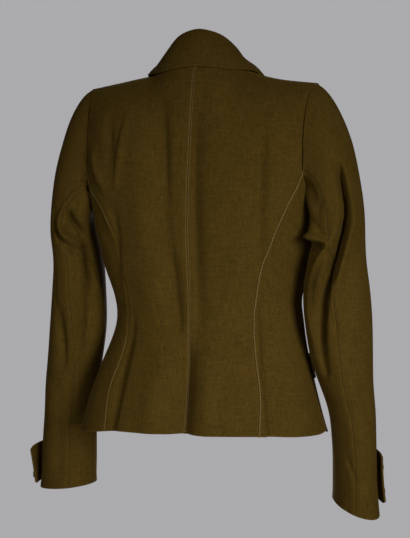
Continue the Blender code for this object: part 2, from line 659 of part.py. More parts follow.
def collar_half(side):
    """Columns of the collar from the centre back to its front end."""
    tag = "l" if side > 0 else "r"
    back, front = panels[tag]["back"], panels[tag]["worn"]
    up = np.array([0, 0, 1.0])
    columns = []
    for at in np.linspace(0, 1, 7):
        seam = on_panel(back, CORE(back), back.shape[0] - 1.0, at * N_NECK, 0.0)[0]
        seam = seam + up * (LAY + 0.0011)
        fold = np.array([side * float(fold_at("fold_x", at)), float(fold_at("fold_y", at)),
                         float(fold_at("fold_z", at))])
        fold[0] += np.interp(at, SHIFT["at"], SHIFT["x"])
        r, c = (np.interp(at, EDGE_BACK["at"], EDGE_BACK[k]) for k in ("row", "col"))
        c += np.interp(at, EDGE_SIDE["at"], EDGE_SIDE[tag])
        edge = on_panel(back, CORE(back), r + back.shape[0] - 1, c, LIE)[0]
        out = (edge - fold) * np.array([1, 1, 0])
        out /= np.linalg.norm(out)
        turn = fold + out * COLLAR_ROLL
        fall = [lerp(turn, edge, q) + out * 0.0030 * math.sin(math.pi * q) for q in FALL]
        columns.append([seam, lerp(seam, fold, 0.5) - out * 0.0010, lerp(seam, fold, 0.86),
                        fold + out * 0.0009 + up * 0.0008,
                        turn - out * 0.0009 + up * 0.0008, *fall])
    first = columns[-1]
    for at in np.linspace(0, 1, 8)[1:]:
        r = ROW_TOP + (GORGE + 0.03 - ROW_TOP) * at
        base, n = on_panel(front, CORE(front), r, N_FRONT - 1e-6, 0.0)
        inner, _ = on_panel(front, CORE(front), r, N_FRONT - 1.0, 0.0)
        d = (inner - base) / np.linalg.norm(inner - base)
        w = smooth(at / 0.75)
        seam = base + n * 0.0010
        fold = lerp(first[3] + (seam - first[0]), base + n * 0.0052, w)
        r2, c2 = (np.interp(at, EDGE_FRONT["at"], EDGE_FRONT[k]) for k in ("row", "col"))
        r2, c2 = r2 + ROW_TOP, c2 - EDGE_SIDE[tag][-1] * 1.57 * (1 - smooth(at / 0.6))
        edge = on_panel(front, CORE(front), r2, c2, LIE)[0]
        turn = fold + d * COLLAR_ROLL
        fall = []
        for q in FALL:
            rq, cq = r + (r2 - r) * q, N_FRONT - 0.5 + (c2 - N_FRONT + 0.5) * q
            line = r - GORGE_SLOPE * (N_FRONT - cq)          # along the gorge, then the notch
            notch = r2 - (r - GORGE_SLOPE * (N_FRONT - c2))
            rq = lerp(rq, line + notch * smooth((q - 0.56) / 0.44), at ** 4)
            lie = on_panel(front, CORE(front), rq, cq, LIE + 0.0012 * (1 - q))[0]
            fall.append(lerp(lerp(turn, edge, q) + n * 0.0035 * math.sin(math.pi * q), lie, w))
        columns.append([seam, lerp(seam, fold, 0.5), lerp(seam, fold, 0.86),
                        fold + d * 0.0009 + n * 0.0006, turn - d * 0.0009 + n * 0.0004, *fall])
    return np.array(columns)


def collar():
    left, right = collar_half(1), collar_half(-1)
    rows = np.concatenate([left[::-1], right[1:]]).transpose(1, 0, 2)
    core = lerp(lerp(rows[0], rows[-1], 0.35), rows[3], 0.35)
    return rows, np.broadcast_to(core, rows.shape)


face, core = collar()
sheet_object("collar", face, COLLAR_WALL, core)


def disc(name, centre, axis, radius, deep):
    """A button: a small closed disc with a softened upper edge."""
    axis = np.asarray(axis) / np.linalg.norm(axis)
    side = np.cross(axis, (0.0, 0.0, 1.0))
    side /= np.linalg.norm(side)
    third = np.cross(axis, side)
    verts, faces, seg = [], [], 12
    for lift, share in ((0.0, 0.86), (0.25, 1.0), (0.75, 1.0), (1.0, 0.86)):
        for k in range(seg):
            w = 2 * math.pi * k / seg
            verts.append(centre + axis * deep * lift
                         + (side * math.cos(w) + third * math.sin(w)) * radius * share)
    for ring_no in range(3):
        for k in range(seg):
            a, b = ring_no * seg + k, ring_no * seg + (k + 1) % seg
            faces.append((a, b, b + seg, a + seg))
    faces.append(tuple(range(seg))[::-1])
    faces.append(tuple(range(3 * seg, 4 * seg)))
    mesh = bpy.data.meshes.new(name)
    mesh.from_pydata([tuple(float(q) for q in v) for v in verts], [], faces)
    vol = 0.0
    for f in faces:
        p = [verts[i] for i in f]
        for k in range(1, len(f) - 1):
            vol += np.dot(p[0], np.cross(p[k], p[k + 1]))
    if vol < 0:
        mesh.flip_normals()
    obj = bpy.data.objects.new(name, mesh)
    bpy.context.collection.objects.link(obj)
    dress(obj, HORN, 0.35)
    return obj


# cuff tabs: on the outer side of the sleeve, the rear end free and standing off
def tab_face(tag):
    low = SLEEVE_L[0][0] if tag == "l" else SLEEVE_R[0][0]
    size = dict(zip(TAB_COLS, TAB[tag]))
    v = np.linspace(0, 1, 5)[:, None] + np.zeros((1, 10))
    u = np.array([0.0, 0.15, 0.30, 0.45, 0.60, 0.72, 0.82, 0.90, 0.96, 1.0])[None, :] + 0 * v
    free = np.clip((u - 0.30) / 0.70, 0, 1)
    corner = 1 - 0.13 * np.clip((u - 0.88) / 0.12, 0, 1) ** 2
    z = low + size["up"] + size["deep"] * (0.5 + (0.5 - v) * corner) - size["droop"] * free ** 2
    deg = size["start"] + (size["end"] - size["start"]) * u
    base = ring(tag, z, deg)
    n = normals(base, sleeve_core(tag, base))
    off = LAY + CUFF_TAB_WALL + 0.0002 + lerp(size["top"], size["foot"], v) * free ** 2
    return base + n * off[..., None]


for tag in ("l", "r"):
    face = tab_face(tag)
    core = sleeve_core(tag, face)
    sheet_object("cuff_tab_" + tag, face, CUFF_TAB_WALL, core)
    n = normals(face, core)
    for k, r in ((1, 1.15), (2, 3.10)):
        p, m = on_panel(face, core, r, 6.8, LAY)
        disc("cuff_button_%s%d" % (tag, k), p, m, CUFF_BUTTON_R, BUTTON_T)

# hip tabs with their buttons, on the fronts just ahead of the side seams
for tag in ("l", "r"):
    g = panels[tag]["worn"]
    v = np.linspace(0, 1, 4)[:, None]
    u = np.linspace(0, 1, 7)[None, :]
    col = HIP["rear"] + (HIP["fore"] - HIP["rear"]) * u + 0 * v
    half = HIP["half"] * np.where(u < 0.12, 0.78, 1.0)
    row = HIP["row"] + (v - 0.5) * 2 * half
    face, _ = on_panel(g, CORE(g), row, col, np.full(col.shape, LAY + TAB_WALL + 0.0006))
    sheet_object("hip_tab_" + tag, face, TAB_WALL, CORE(face))
    p, n = on_panel(g, CORE(g), HIP["row"], HIP["button"], LAY + TAB_WALL + 0.0009)
    disc("hip_button_" + tag, p, n, HIP_BUTTON_R, BUTTON_T)

# front buttons, on the right front at the centre front
g = panels["r"]["worn"]
for k, z in enumerate(FRONT_BUTTON_Z):
    row = N_LOW * (z - FRONT_HEM_Z) / (BREAK_Z - FRONT_HEM_Z)
    p, n = on_panel(g, CORE(g), row, N_FRONT - 0.74, 0.0007)
    disc("front_button_%d" % (k + 1), p, n, FRONT_BUTTON_R, BUTTON_T)
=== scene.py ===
# %% [markdown]
# # A fitted wool jacket, worn by nobody
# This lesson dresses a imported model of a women's wool jacket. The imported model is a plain
# stand-in: every piece of cloth is a stiff, coarse sheet. Here each piece is cut again from the
# same sizes, but fine enough to carry creases, turned edges, topstitching and a woven surface.
# The jacket keeps its worn form, open at the neck, hem, cuffs and armholes.

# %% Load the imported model
import math

import bpy
import numpy as np
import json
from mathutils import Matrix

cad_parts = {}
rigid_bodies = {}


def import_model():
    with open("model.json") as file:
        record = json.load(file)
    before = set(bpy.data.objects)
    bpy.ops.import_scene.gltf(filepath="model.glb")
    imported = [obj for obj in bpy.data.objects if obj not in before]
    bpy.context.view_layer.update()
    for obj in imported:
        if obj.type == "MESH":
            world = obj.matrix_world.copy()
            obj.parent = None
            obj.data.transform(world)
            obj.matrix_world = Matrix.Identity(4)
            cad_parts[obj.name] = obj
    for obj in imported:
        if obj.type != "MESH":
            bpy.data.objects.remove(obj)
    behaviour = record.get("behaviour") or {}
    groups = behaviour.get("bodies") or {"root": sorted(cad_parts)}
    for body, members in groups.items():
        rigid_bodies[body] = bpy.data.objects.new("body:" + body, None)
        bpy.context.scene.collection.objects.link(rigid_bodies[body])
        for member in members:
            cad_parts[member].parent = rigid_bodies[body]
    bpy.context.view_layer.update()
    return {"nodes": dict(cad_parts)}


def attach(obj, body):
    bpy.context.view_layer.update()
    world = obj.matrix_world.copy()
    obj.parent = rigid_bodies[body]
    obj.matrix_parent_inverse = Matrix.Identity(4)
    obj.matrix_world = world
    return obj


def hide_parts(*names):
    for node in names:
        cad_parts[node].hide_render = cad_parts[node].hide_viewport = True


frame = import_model()
print("packed nodes:", len(frame["nodes"]))

# %% [markdown]
# ## Camera first
# The photograph looks at the back from a little to the wearer's right, from chest height, with
# the camera level. A level camera keeps upright lines upright; the picture is then shifted a
# little instead of tilting the camera. The long lens keeps the sleeves in proportion.

# %% The camera
VIEW_TURN = 17.0         # degrees from straight behind
VIEW_FAR, VIEW_HIGH = 1.900, -0.250
LENS_PX, TALL_PX, SHIFT_PX = 1292.0, 538.0, -24.0        # in pixels of the finished picture
SENSOR = 36.0            # millimetres
BEHIND = np.array([-math.sin(math.radians(VIEW_TURN)), math.cos(math.radians(VIEW_TURN)), 0.0])


def placed(name, data):
    """A new object in the scene that shows a mesh, a lamp or a camera."""
    obj = bpy.data.objects.new(name, data)
    bpy.context.scene.collection.objects.link(obj)
    return obj


eye = bpy.data.cameras.new("eye")
eye.sensor_width, eye.lens = SENSOR, LENS_PX * SENSOR / TALL_PX
eye.shift_y = SHIFT_PX / TALL_PX
camera = placed("eye", eye)
camera.location = BEHIND * VIEW_FAR + np.array([0.0, 0.0, VIEW_HIGH])
camera.rotation_euler = (math.pi / 2, 0.0, math.radians(180.0 + VIEW_TURN))
bpy.context.scene.camera = camera
print("camera lens %.1f mm" % eye.lens)

# %% [markdown]
# ## The cut, as short tables
# A jacket's form is in its sections: how wide and deep the body is at each height, where the
# curved back seam runs, how each sleeve hangs. The tables below are the same sizes as the packed
# model's, in metres, so that the fine cloth lies where the stiff cloth is.

# %% Sizes of the body
WALL, COLLAR_WALL, TAB_WALL, CUFF_TAB_WALL = 0.0018, 0.0016, 0.0020, 0.0030
LAY = 0.0004             # gap under a piece that lies on another
SEAM = 0.0003            # gap between the two pieces of a seam
HEM_Z, FRONT_HEM_Z, PRINCESS_Z, CHEST_Z = -0.5135, -0.520, -0.148, -0.120
UNDERARM_Z, BREAK_Z, OVERLAP = -0.187, -0.235, 0.017
NECK_DIP = 1.3           # how the back neck dips between its centre and the shoulder seams
NECK, TIP, NECK_BACK = (0.068, 0.008, 0.002), (0.172, 0.010, -0.0165), (0.0, 0.056, 0.020)
RIGHT_DROP, SHOULDER_SAG, DIP_WIDTH = 0.0035, (0.0008, 0.004), 0.030
SAG_SKEW = 0.25          # how much deeper a shoulder sags near the neck
NECK_SHIFT = 0.0080      # the centre back seam leans to the wearer's right at the neck
HEM_SWING = (0.0095, 0.0035, 0.0085)     # the hem hangs lower: left, right, fronts
ARM_BACK_X, ARM_FRONT_X = 0.1605, 0.134

TORSO_COLS = ("z", "half_w", "back_y", "front_y", "side_y", "back_n", "front_n", "dip", "more")
TORSO = [
    (-0.520, 0.186, 0.120, -0.122, 0.004, 2.15, 2.6, 0.007, 0.0045),
    (-0.456, 0.168, 0.106, -0.116, -0.002, 2.15, 2.5, 0.007, 0.0045),
    (-0.417, 0.155, 0.096, -0.112, -0.006, 2.15, 2.3, 0.006, 0.0010),
    (-0.383, 0.1445, 0.087, -0.108, -0.012, 2.20, 2.2, 0.005, -0.0020),
    (-0.355, 0.1395, 0.082, -0.107, -0.016, 2.25, 2.2, 0.005, -0.0030),
    (-0.330, 0.1400, 0.083, -0.109, -0.016, 2.30, 2.2, 0.005, 0.0000),
    (-0.300, 0.1475, 0.087, -0.116, -0.012, 2.40, 2.3, 0.006, 0.0000),
    (-0.270, 0.1550, 0.092, -0.126, -0.008, 2.60, 2.5, 0.006, 0.0000),
    (-0.235, 0.1605, 0.097, -0.132, -0.004, 2.85, 2.6, 0.007, 0.0000),
    (-0.187, 0.1660, 0.100, -0.132, 0.000, 3.20, 2.6, 0.006, 0.0000),
    (-0.145, 0.1700, 0.100, -0.1245, 0.002, 3.50, 2.6, 0.005, 0.0000),
    (-0.120, 0.1710, 0.098, -0.1180, 0.003, 3.50, 2.5, 0.004, 0.0000),
]
PRINCESS_COLS = ("z", "x", "more")
PRINCESS = [
    (-0.520, 0.1160, 0.0090), (-0.452, 0.1112, 0.0078), (-0.405, 0.1012, 0.0062),
    (-0.360, 0.0952, 0.0048), (-0.315, 0.0975, 0.0025), (-0.270, 0.1100, 0.0005),
    (-0.230, 0.1202, -0.0038), (-0.195, 0.1360, -0.0040), (-0.165, 0.1545, -0.0005),
    (-0.148, 0.1600, 0.0000),
]
EDGE_COLS = ("z", "x")
EDGE = [(-0.520, -0.006), (-0.500, -0.0150), (-0.470, -OVERLAP), (-0.300, -OVERLAP),
        (-0.235, -OVERLAP)]
print("body sections:", len(TORSO), " places of the curved seam:", len(PRINCESS))

# %% Sizes of the sleeves
SLEEVE_COLS = ("z", "x", "y", "half_w", "half_d", "turn", "tilt", "lean", "back_seam")
SLEEVE_L = [
    (-0.6235, 0.2420, -0.0600, 0.0445, 0.0450, 0, 2, 5, 113),
    (-0.580, 0.2390, -0.0570, 0.0430, 0.0460, 0, 5, 3, 114),
    (-0.520, 0.2345, -0.0505, 0.0410, 0.0475, 0, 8, 0, 116),
    (-0.450, 0.2225, -0.0350, 0.0415, 0.0500, 0, 7, 0, 115),
    (-0.375, 0.2062, -0.0150, 0.0425, 0.0530, 0, 6, 0, 104),
    (-0.310, 0.1990, -0.0010, 0.0370, 0.0585, 0, 4, 0, 97),
    (-0.270, 0.1970, 0.0050, 0.0330, 0.0612, 0, 2, 0, 98),
    (-0.230, 0.2002, 0.0100, 0.0322, 0.0625, 0, 0, 0, 94),
]
SLEEVE_R = [
    (-0.628, 0.2165, -0.0400, 0.0328, 0.0510, 25, 4, 17, 112),
    (-0.590, 0.2150, -0.0360, 0.0312, 0.0510, 25, 7, 9, 110),
    (-0.530, 0.2150, -0.0310, 0.0315, 0.0515, 23, 9, 2, 107),
    (-0.490, 0.2140, -0.0260, 0.0335, 0.0520, 18, 9, 0, 102),
    (-0.450, 0.2070, -0.0170, 0.0385, 0.0525, 12, 8, 0, 94),
    (-0.410, 0.2015, -0.0095, 0.0455, 0.0530, 6, 7, 0, 84),
    (-0.360, 0.1992, 0.0000, 0.0485, 0.0550, 0, 5, 0, 78),
    (-0.310, 0.1980, 0.0080, 0.0475, 0.0585, 0, 3, 0, 80),
    (-0.270, 0.2000, 0.0130, 0.0410, 0.0612, 0, 1, 0, 83),
    (-0.230, 0.2038, 0.0160, 0.0343, 0.0625, 0, 0, 0, 97),
]
FRONT_SEAM = 236         # degrees round the ring, on the inner front
CAP_SQUARE = {"l": 1.12, "r": 1.30}      # how square each sleeve head is: less is squarer
SIDES = {"l": 1, "r": -1}                # +1 is the wearer's left
print("sleeve sections: left", len(SLEEVE_L), "right", len(SLEEVE_R))

# %% [markdown]
# ## Reading a table smoothly
# Between two rows of a table the form has to flow. A cubic through the rows does that without
# the overshoot of a free curve. A second kind of curve, one that runs through many evenly
# spaced points, is used later to make a coarse set of points fine.


# %% Curves
def lookup(cols, rows):
    """A smooth reader of a short table: value('name', z) for one z or many."""
    data = np.array(sorted(rows), float)
    key = data[:, 0]
    step = np.diff(key)
    curves = {}
    for k, name in enumerate(cols):
        v = data[:, k]
        d = np.diff(v) / step
        m = np.empty_like(v)
        m[0], m[-1] = d[0], d[-1]
        m[1:-1] = (d[:-1] * step[1:] + d[1:] * step[:-1]) / (step[:-1] + step[1:])
        curves[name] = (v, m)

    def value(name, q):
        v, m = curves[name]
        q = np.clip(np.asarray(q, float), key[0], key[-1])
        i = np.clip(np.searchsorted(key, q) - 1, 0, len(key) - 2)
        t = (q - key[i]) / step[i]
        return ((1 + 2 * t) * (1 - t) ** 2 * v[i] + t * (1 - t) ** 2 * step[i] * m[i]
                + t * t * (3 - 2 * t) * v[i + 1] - t * t * (1 - t) * step[i] * m[i + 1])
    return value


def smooth(t):
    t = np.clip(t, 0.0, 1.0)
    return t * t * (3 - 2 * t)


def grown(v, start, over):
    """0 until v passes start, then up to 1 over the given length."""
    return smooth((v - start) / over)


def steps(n):
    return np.linspace(0, 1, n + 1)


def lerp(a, b, t):
    return np.asarray(a) + (np.asarray(b) - np.asarray(a)) * t


def spaced(line, n):
    """n + 1 evenly spaced points on a dense line."""
    line = np.asarray(line)
    run = np.concatenate([[0], np.cumsum(np.linalg.norm(np.diff(line, axis=0), axis=1))])
    at = np.linspace(0, run[-1], n + 1)
    return np.stack([np.interp(at, run, line[:, k]) for k in range(3)], axis=1)


def curve_weights(n, at):
    """Weights that read a smooth curve through n evenly spaced points at the places `at`."""
    a, b = np.zeros((n, n)), np.zeros((n, n))
    for i in range(1, n - 1):
        a[i, i - 1:i + 2] = 1, 4, 1
        b[i, i - 1:i + 2] = 6, -12, 6
    a[0, :2], a[-1, -2:] = (1, -1), (-1, 1)
    bend = np.linalg.solve(a, b)
    at = np.asarray(at, float)
    i = np.clip(at.astype(int), 0, n - 2)
    t = (at - i)[:, None]
    w = ((1 - t) ** 3 - (1 - t)) / 6 * bend[i] + (t ** 3 - t) / 6 * bend[i + 1]
    w[np.arange(len(at)), i] += 1 - t[:, 0]
    w[np.arange(len(at)), i + 1] += t[:, 0]
    return w


def refined(n, fine_steps):
    return curve_weights(n, np.linspace(0, n - 1, (n - 1) * fine_steps + 1))


def unit(v):
    return v / np.maximum(np.linalg.norm(v, axis=-1, keepdims=True), 1e-12)


torso_at, princess_at = lookup(TORSO_COLS, TORSO), lookup(PRINCESS_COLS, PRINCESS)
edge_at = lookup(EDGE_COLS, EDGE)
sleeve_at = {"l": lookup(SLEEVE_COLS, SLEEVE_L), "r": lookup(SLEEVE_COLS, SLEEVE_R)}
print("waist is %.0f mm across" % (2000 * torso_at("half_w", -0.355)))

# %% [markdown]
# ## The body as nets of points
# Each body piece is a net: rows run round the body, columns run from the hem up. The coarse
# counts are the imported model's; `FINE_ROWS` and `FINE_COLS` say how many fine steps go into each
# coarse one. Every place on a piece can then be named in coarse rows and columns. Round the
# body, a place is a number from 0 at the centre back over 1 at the side seam to 2 at the front.

# %% Steps along the panels
N_LOW, N_MID, N_ARCH = 13, 2, 6          # hem to curved seam, to chest, over the shoulder
N_BACK, N_NECK, N_SIDE, N_FRONT, N_UNDER = 11, 4, 4, 11, 3
FINE_ROWS, FINE_COLS = 12, 7
ROW_TOP = N_LOW + N_UNDER + N_ARCH


def fine(n):
    return n * FINE_ROWS


def fine_c(n):
    return n * FINE_COLS


ROW_SAMPLES = 400        # points that a row is measured by
LOW_ROWS = fine(N_LOW) + 1               # rows from the hem to the curved seam's top
print("fine rows from hem to shoulder:", fine(ROW_TOP) + 1)


# %% Points of the body
def half_width(side, z):
    return torso_at("half_w", z) + side * torso_at("more", z)


def torso_point(side, a, z):
    """A point of the body. a runs 0 centre back, 1 side seam, 2 centre front."""
    a, z = np.asarray(a, float), np.asarray(z, float)
    mid = torso_at("side_y", z)
    n = np.where(a < 1, torso_at("back_n", z), torso_at("front_n", z))
    s, c = np.sin(a * math.pi / 2), np.cos(a * math.pi / 2)
    x = half_width(side, z) * np.sign(s) * np.abs(s) ** (2 / n)
    reach = np.where(a < 1, torso_at("back_y", z) - mid, mid - torso_at("front_y", z))
    y = mid + np.sign(c) * reach * np.abs(c) ** (2 / n)
    y = y - np.where(a < 1, torso_at("dip", z) * np.exp(-(x / DIP_WIDTH) ** 2), 0.0)
    return np.stack([side * x, y, z + 0 * x], axis=-1)


def back_a(side, x, z):
    u = np.clip(x / half_width(side, z), 0, 1) ** (torso_at("back_n", z) / 2)
    return 2 / math.pi * np.arcsin(u)


def princess_a(side, z):
    """Where the curved back seam runs at height z."""
    return back_a(side, princess_at("x", z) + side * princess_at("more", z), z)


def front_a(side, x, z):
    u = np.clip(np.abs(x) / half_width(side, z), 0, 1) ** (torso_at("front_n", z) / 2)
    return 2 - 2 / math.pi * np.sign(x) * np.arcsin(u)


def torso_row(side, a0, z0, a1, z1, n):
    t = steps(ROW_SAMPLES)
    return spaced(torso_point(side, a0 + (a1 - a0) * t, z0 + (z1 - z0) * t), n)


def arch(low, top, straight):
    """Rows from the chest row over to the shoulder seam; straight is 1 along a straight edge."""
    rows = []
    for psi in steps(fine(N_ARCH))[1:] * math.pi / 2:
        out, up = 1 - math.cos(psi), math.sin(psi)
        p = low + (top - low) * up
        p[:, 0] = low[:, 0] + (top[:, 0] - low[:, 0]) * ((1 - straight) * out + straight * up)
        p[:, 1] = low[:, 1] + (top[:, 1] - low[:, 1]) * out
        rows.append(p)
    return rows


def shoulder(side, n):
    t = steps(n)
    p = lerp(NECK, TIP, t[:, None])
    p[:, 2] -= RIGHT_DROP * t * (side < 0)
    sag = SHOULDER_SAG[0 if side > 0 else 1]
    p[:, 2] -= sag * np.sin(math.pi * t) * (1 + SAG_SKEW - 2 * SAG_SKEW * t)
    p[:, 0] *= side
    return p


def back_neck(side, n):
    w = steps(n) * math.pi / 2
    return np.stack([side * NECK[0] * np.sin(w),
                     NECK[1] + (NECK_BACK[1] - NECK[1]) * np.cos(w),
                     NECK[2] + (NECK_BACK[2] - NECK[2]) * np.cos(w) ** NECK_DIP], axis=1)


print("back neck is %.0f mm across" % (2000 * back_neck(1, N_NECK)[-1, 0]))

# %% The three nets of one half of the body
LOW_T = steps(fine(N_LOW))
ARMHOLE_BEND = 1.7       # how the armhole curves: under the arm, then up and across the front
FRONT_ARMHOLE_UP, FRONT_ARMHOLE_ACROSS = 1.35, 0.7


def back_net(side):
    rows = []
    for t in LOW_T:
        z = HEM_Z + (PRINCESS_Z - HEM_Z) * t
        rows.append(torso_row(side, 0, z, princess_a(side, z), z, fine_c(N_BACK)))
    for t in steps(fine(N_MID))[1:]:
        z = PRINCESS_Z + (CHEST_Z - PRINCESS_Z) * t
        x = PRINCESS[-1][1] + (ARM_BACK_X - PRINCESS[-1][1]) * t
        rows.append(torso_row(side, 0, z, back_a(side, x, z), z, fine_c(N_BACK)))
    top = np.concatenate([back_neck(side, fine_c(N_NECK)),
                          shoulder(side, fine_c(N_BACK - N_NECK))[1:]])
    return np.array(rows + arch(rows[-1], top, 0.0))


def side_net(side):
    """From the curved back seam to the side seam; the top follows the armhole."""
    c = steps(fine_c(N_SIDE))
    top = UNDERARM_Z + (PRINCESS_Z - UNDERARM_Z) * (1 - c) ** ARMHOLE_BEND
    rows = []
    for t in LOW_T:
        z0 = HEM_Z + (PRINCESS_Z - HEM_Z) * t
        a0 = princess_a(side, z0)
        rows.append(torso_point(side, a0 + (1 - a0) * c, HEM_Z + (top - HEM_Z) * t))
    return np.array(rows)


def front_net(side):
    """From the side seam to the front edge, then from the armhole to the roll line."""
    rows, n = [], fine_c(N_FRONT)
    for t in LOW_T:
        z0 = HEM_Z + (UNDERARM_Z - HEM_Z) * t
        z1 = FRONT_HEM_Z + (BREAK_Z - FRONT_HEM_Z) * t
        rows.append(torso_row(side, 1, z0, front_a(side, edge_at("x", z1), z1), z1, n))
    a_top = front_a(side, ARM_FRONT_X, CHEST_Z)
    for t in steps(fine(N_UNDER))[1:]:
        z0 = UNDERARM_Z + (CHEST_Z - UNDERARM_Z) * t ** FRONT_ARMHOLE_UP
        z1 = BREAK_Z + (CHEST_Z - BREAK_Z) * t
        x1 = -OVERLAP + (NECK[0] + OVERLAP) * (z1 - BREAK_Z) / (NECK[2] - BREAK_Z)
        rows.append(torso_row(side, 1 + (a_top - 1) * t ** FRONT_ARMHOLE_ACROSS, z0,
                              front_a(side, x1, z1), z1, n))
    return np.array(rows + arch(rows[-1], shoulder(side, n)[::-1], steps(n)))


# each pair: from how far and over how far the hem swings down or the neck end leans
SWING_OUT, SWING_AHEAD, SWING_ACROSS = (0.090, 0.100), (0, 0.050), (0, 0.110)
SWING_DOWN, LEAN_UP, LEAN_BEHIND, LEAN_WIDE = (0.380, 0.130), (-0.260, 0.260), (0, 0.030), 0.060


def swung(grid, side):
    """Let the hem hang lower at the sides and fronts, and lean the neck end of the back."""
    x, y, z = np.abs(grid[..., 0]), grid[..., 1], grid[..., 2]
    beside = HEM_SWING[0 if side > 0 else 1] * grown(x, *SWING_OUT)
    ahead = HEM_SWING[2] * grown(-y, *SWING_AHEAD) * grown(x, *SWING_ACROSS)
    out = grid.copy()
    out[..., 2] -= np.maximum(beside, ahead) * grown(-z, *SWING_DOWN)
    out[..., 0] -= NECK_SHIFT * grown(z, *LEAN_UP) * np.exp(-(x / LEAN_WIDE) ** 2) * grown(
        y, *LEAN_BEHIND)
    return out


raw = {tag: dict(back=swung(back_net(side), side), side=swung(side_net(side), side),
                 front=swung(front_net(side), side)) for tag, side in SIDES.items()}
print("points in one back net:", raw["l"]["back"].shape[0] * raw["l"]["back"].shape[1])

# %% [markdown]
# ## Easing a net, and giving it creases
# Where two formulas meet, the net has a faint corner that real wool would never hold. Averaging
# each point with its neighbours a few dozen times, with the edges held still, eases it away.
# A crease is then a line on the cloth, straight or hooked, along which the cloth is pushed out
# or in. Its depth swells and dies away along its length, and its two flanks differ, because a
# fold in wool has one steep side and one slack side.


# %% Easing
OWN, NEXT = 0.4, 0.3     # shares of a point itself and of its neighbours each way
EASE = 45                # rounds of averaging
CORE_Y, CORE_TOP = -0.005, -0.080


def eased(grid, ring=False):
    """Average each point with its neighbours. The side edges of a ring join, others hold."""
    g = grid.copy()
    for _ in range(EASE):
        up = (g[2:] + g[:-2]) / 2
        if ring:
            across = (np.roll(g, 1, 1) + np.roll(g, -1, 1))[1:-1] / 2
            g[1:-1] = g[1:-1] * OWN + up * NEXT + across * NEXT
        else:
            across = (g[1:-1, 2:] + g[1:-1, :-2]) / 2
            g[1:-1, 1:-1] = g[1:-1, 1:-1] * OWN + up[:, 1:-1] * NEXT + across * NEXT
    return g


def normals(grid, core):
    """Unit normals of a net, turned away from its core."""
    n = unit(np.cross(np.gradient(grid, axis=1, edge_order=2),
                      np.gradient(grid, axis=0, edge_order=2)))
    return -n if np.sum(n * (grid - core)) < 0 else n


def body_core(grid):
    """The middle of the body at the height of each point."""
    z = grid[..., 2]
    return np.stack([0 * z, 0 * z + CORE_Y, np.minimum(z, CORE_TOP)], axis=-1)


print("rounds of easing:", EASE)


# %% Creasing
CREASE_STEPS = 24        # straight steps along one crease
CREASE_ENDS, CREASE_FULL = 0.15, 0.7     # depth left at its ends; less is fuller between
FAR = 9.0                # farther than any point


def creased(grid, core, at, creases, scale=1.0):
    """Push a net in or out along creases: three places (at, z), height, and two flanks."""
    away = unit(grid - core)
    push = np.zeros(grid.shape[:2])
    px, pz = at * scale, grid[..., 2]
    t = steps(CREASE_STEPS)
    for a0, z0, a1, z1, a2, z2, out, above, below in creases:
        bx = ((1 - t) ** 2 * a0 + 2 * t * (1 - t) * a1 + t * t * a2) * scale
        bz = (1 - t) ** 2 * z0 + 2 * t * (1 - t) * z1 + t * t * z2
        best, where, turn = np.full(px.shape, FAR), np.zeros(px.shape), np.zeros(px.shape)
        for k in range(CREASE_STEPS):
            ex, ez = bx[k + 1] - bx[k], bz[k + 1] - bz[k]
            s = np.clip(((px - bx[k]) * ex + (pz - bz[k]) * ez) / (ex * ex + ez * ez), 0, 1)
            dx, dz = px - bx[k] - s * ex, pz - bz[k] - s * ez
            d = np.hypot(dx, dz)
            near = d < best
            best = np.where(near, d, best)
            where = np.where(near, (k + s) / CREASE_STEPS, where)
            turn = np.where(near, np.sign(ex * dz - ez * dx), turn)
        flank = np.where(turn > 0, above, below)
        swell = np.sin(math.pi * np.clip(where, 0.02, 0.98)) ** CREASE_FULL
        push += out * np.exp(-(best / flank) ** 2) * (CREASE_ENDS + (1 - CREASE_ENDS) * swell)
    return grid + away * push[..., None]


print("straight steps along a crease:", CREASE_STEPS)

# %% [markdown]
# ## Creases of the body
# Read off the back of the real jacket: a hollow each side of the centre back that deepens into
# a fold below the waist, a soft vertical crease over each shoulder blade, drag lines from the
# armhole, and slack folds in the flared hem. The fronts get similar ones. Each row has three
# places on one crease, its height (out is positive) and how wide each of its flanks is. A place
# is the distance to the wearer's left of the centre, and the height above the origin.

# %% Creases of the back and fronts
# columns: at0, z0, at1, z1, at2, z2, out, flank above, flank below; all in millimetres
BACK_CREASES = np.array([
    (0, -385, 0, -470, 0, -560, -17, 12, 12),
    (-30, -390, -34, -480, -36, -560, 5, 14, 12),
    (36, -385, 42, -470, 48, -560, 4, 18, 12),
    (-104, -330, -114, -440, -136, -560, -15, 6, 16),
    (90, -360, 100, -430, 118, -560, -10, 13, 8),
    (120, -60, 122, -100, 116, -140, -5.5, 6, 10),
    (88, -62, 94, -110, 104, -165, 5.5, 6, 5),
    (148, -108, 140, -140, 122, -175, 5.5, 6, 6),
    (112, -190, 108, -240, 112, -300, -5, 8, 8),
    (-115, -85, -114, -160, -106, -290, -8.5, 12, 4.5),
    (40, -40, 36, -120, 31, -230, -10.5, 20, 12),
    (31, -225, 28, -300, 16, -385, -10, 19, 12),
    (-13, -50, -12, -200, -15, -380, -7.5, 10, 11),
    (70, -90, 68, -200, 58, -335, 3, 18, 18),
    (-150, -180, -130, -215, -108, -270, 1.6, 8, 12),
    (146, -185, 120, -235, 112, -300, -2, 10, 7),
    (125, -340, 95, -352, 50, -348, -1.4, 7, 11),
    (-125, -335, -95, -350, -45, -352, -1.2, 7, 10),
    (-15, -290, -45, -330, -80, -345, -1.2, 8, 12),
    (135, -400, 145, -450, 160, -540, 2.6, 14, 12),
]) / 1000
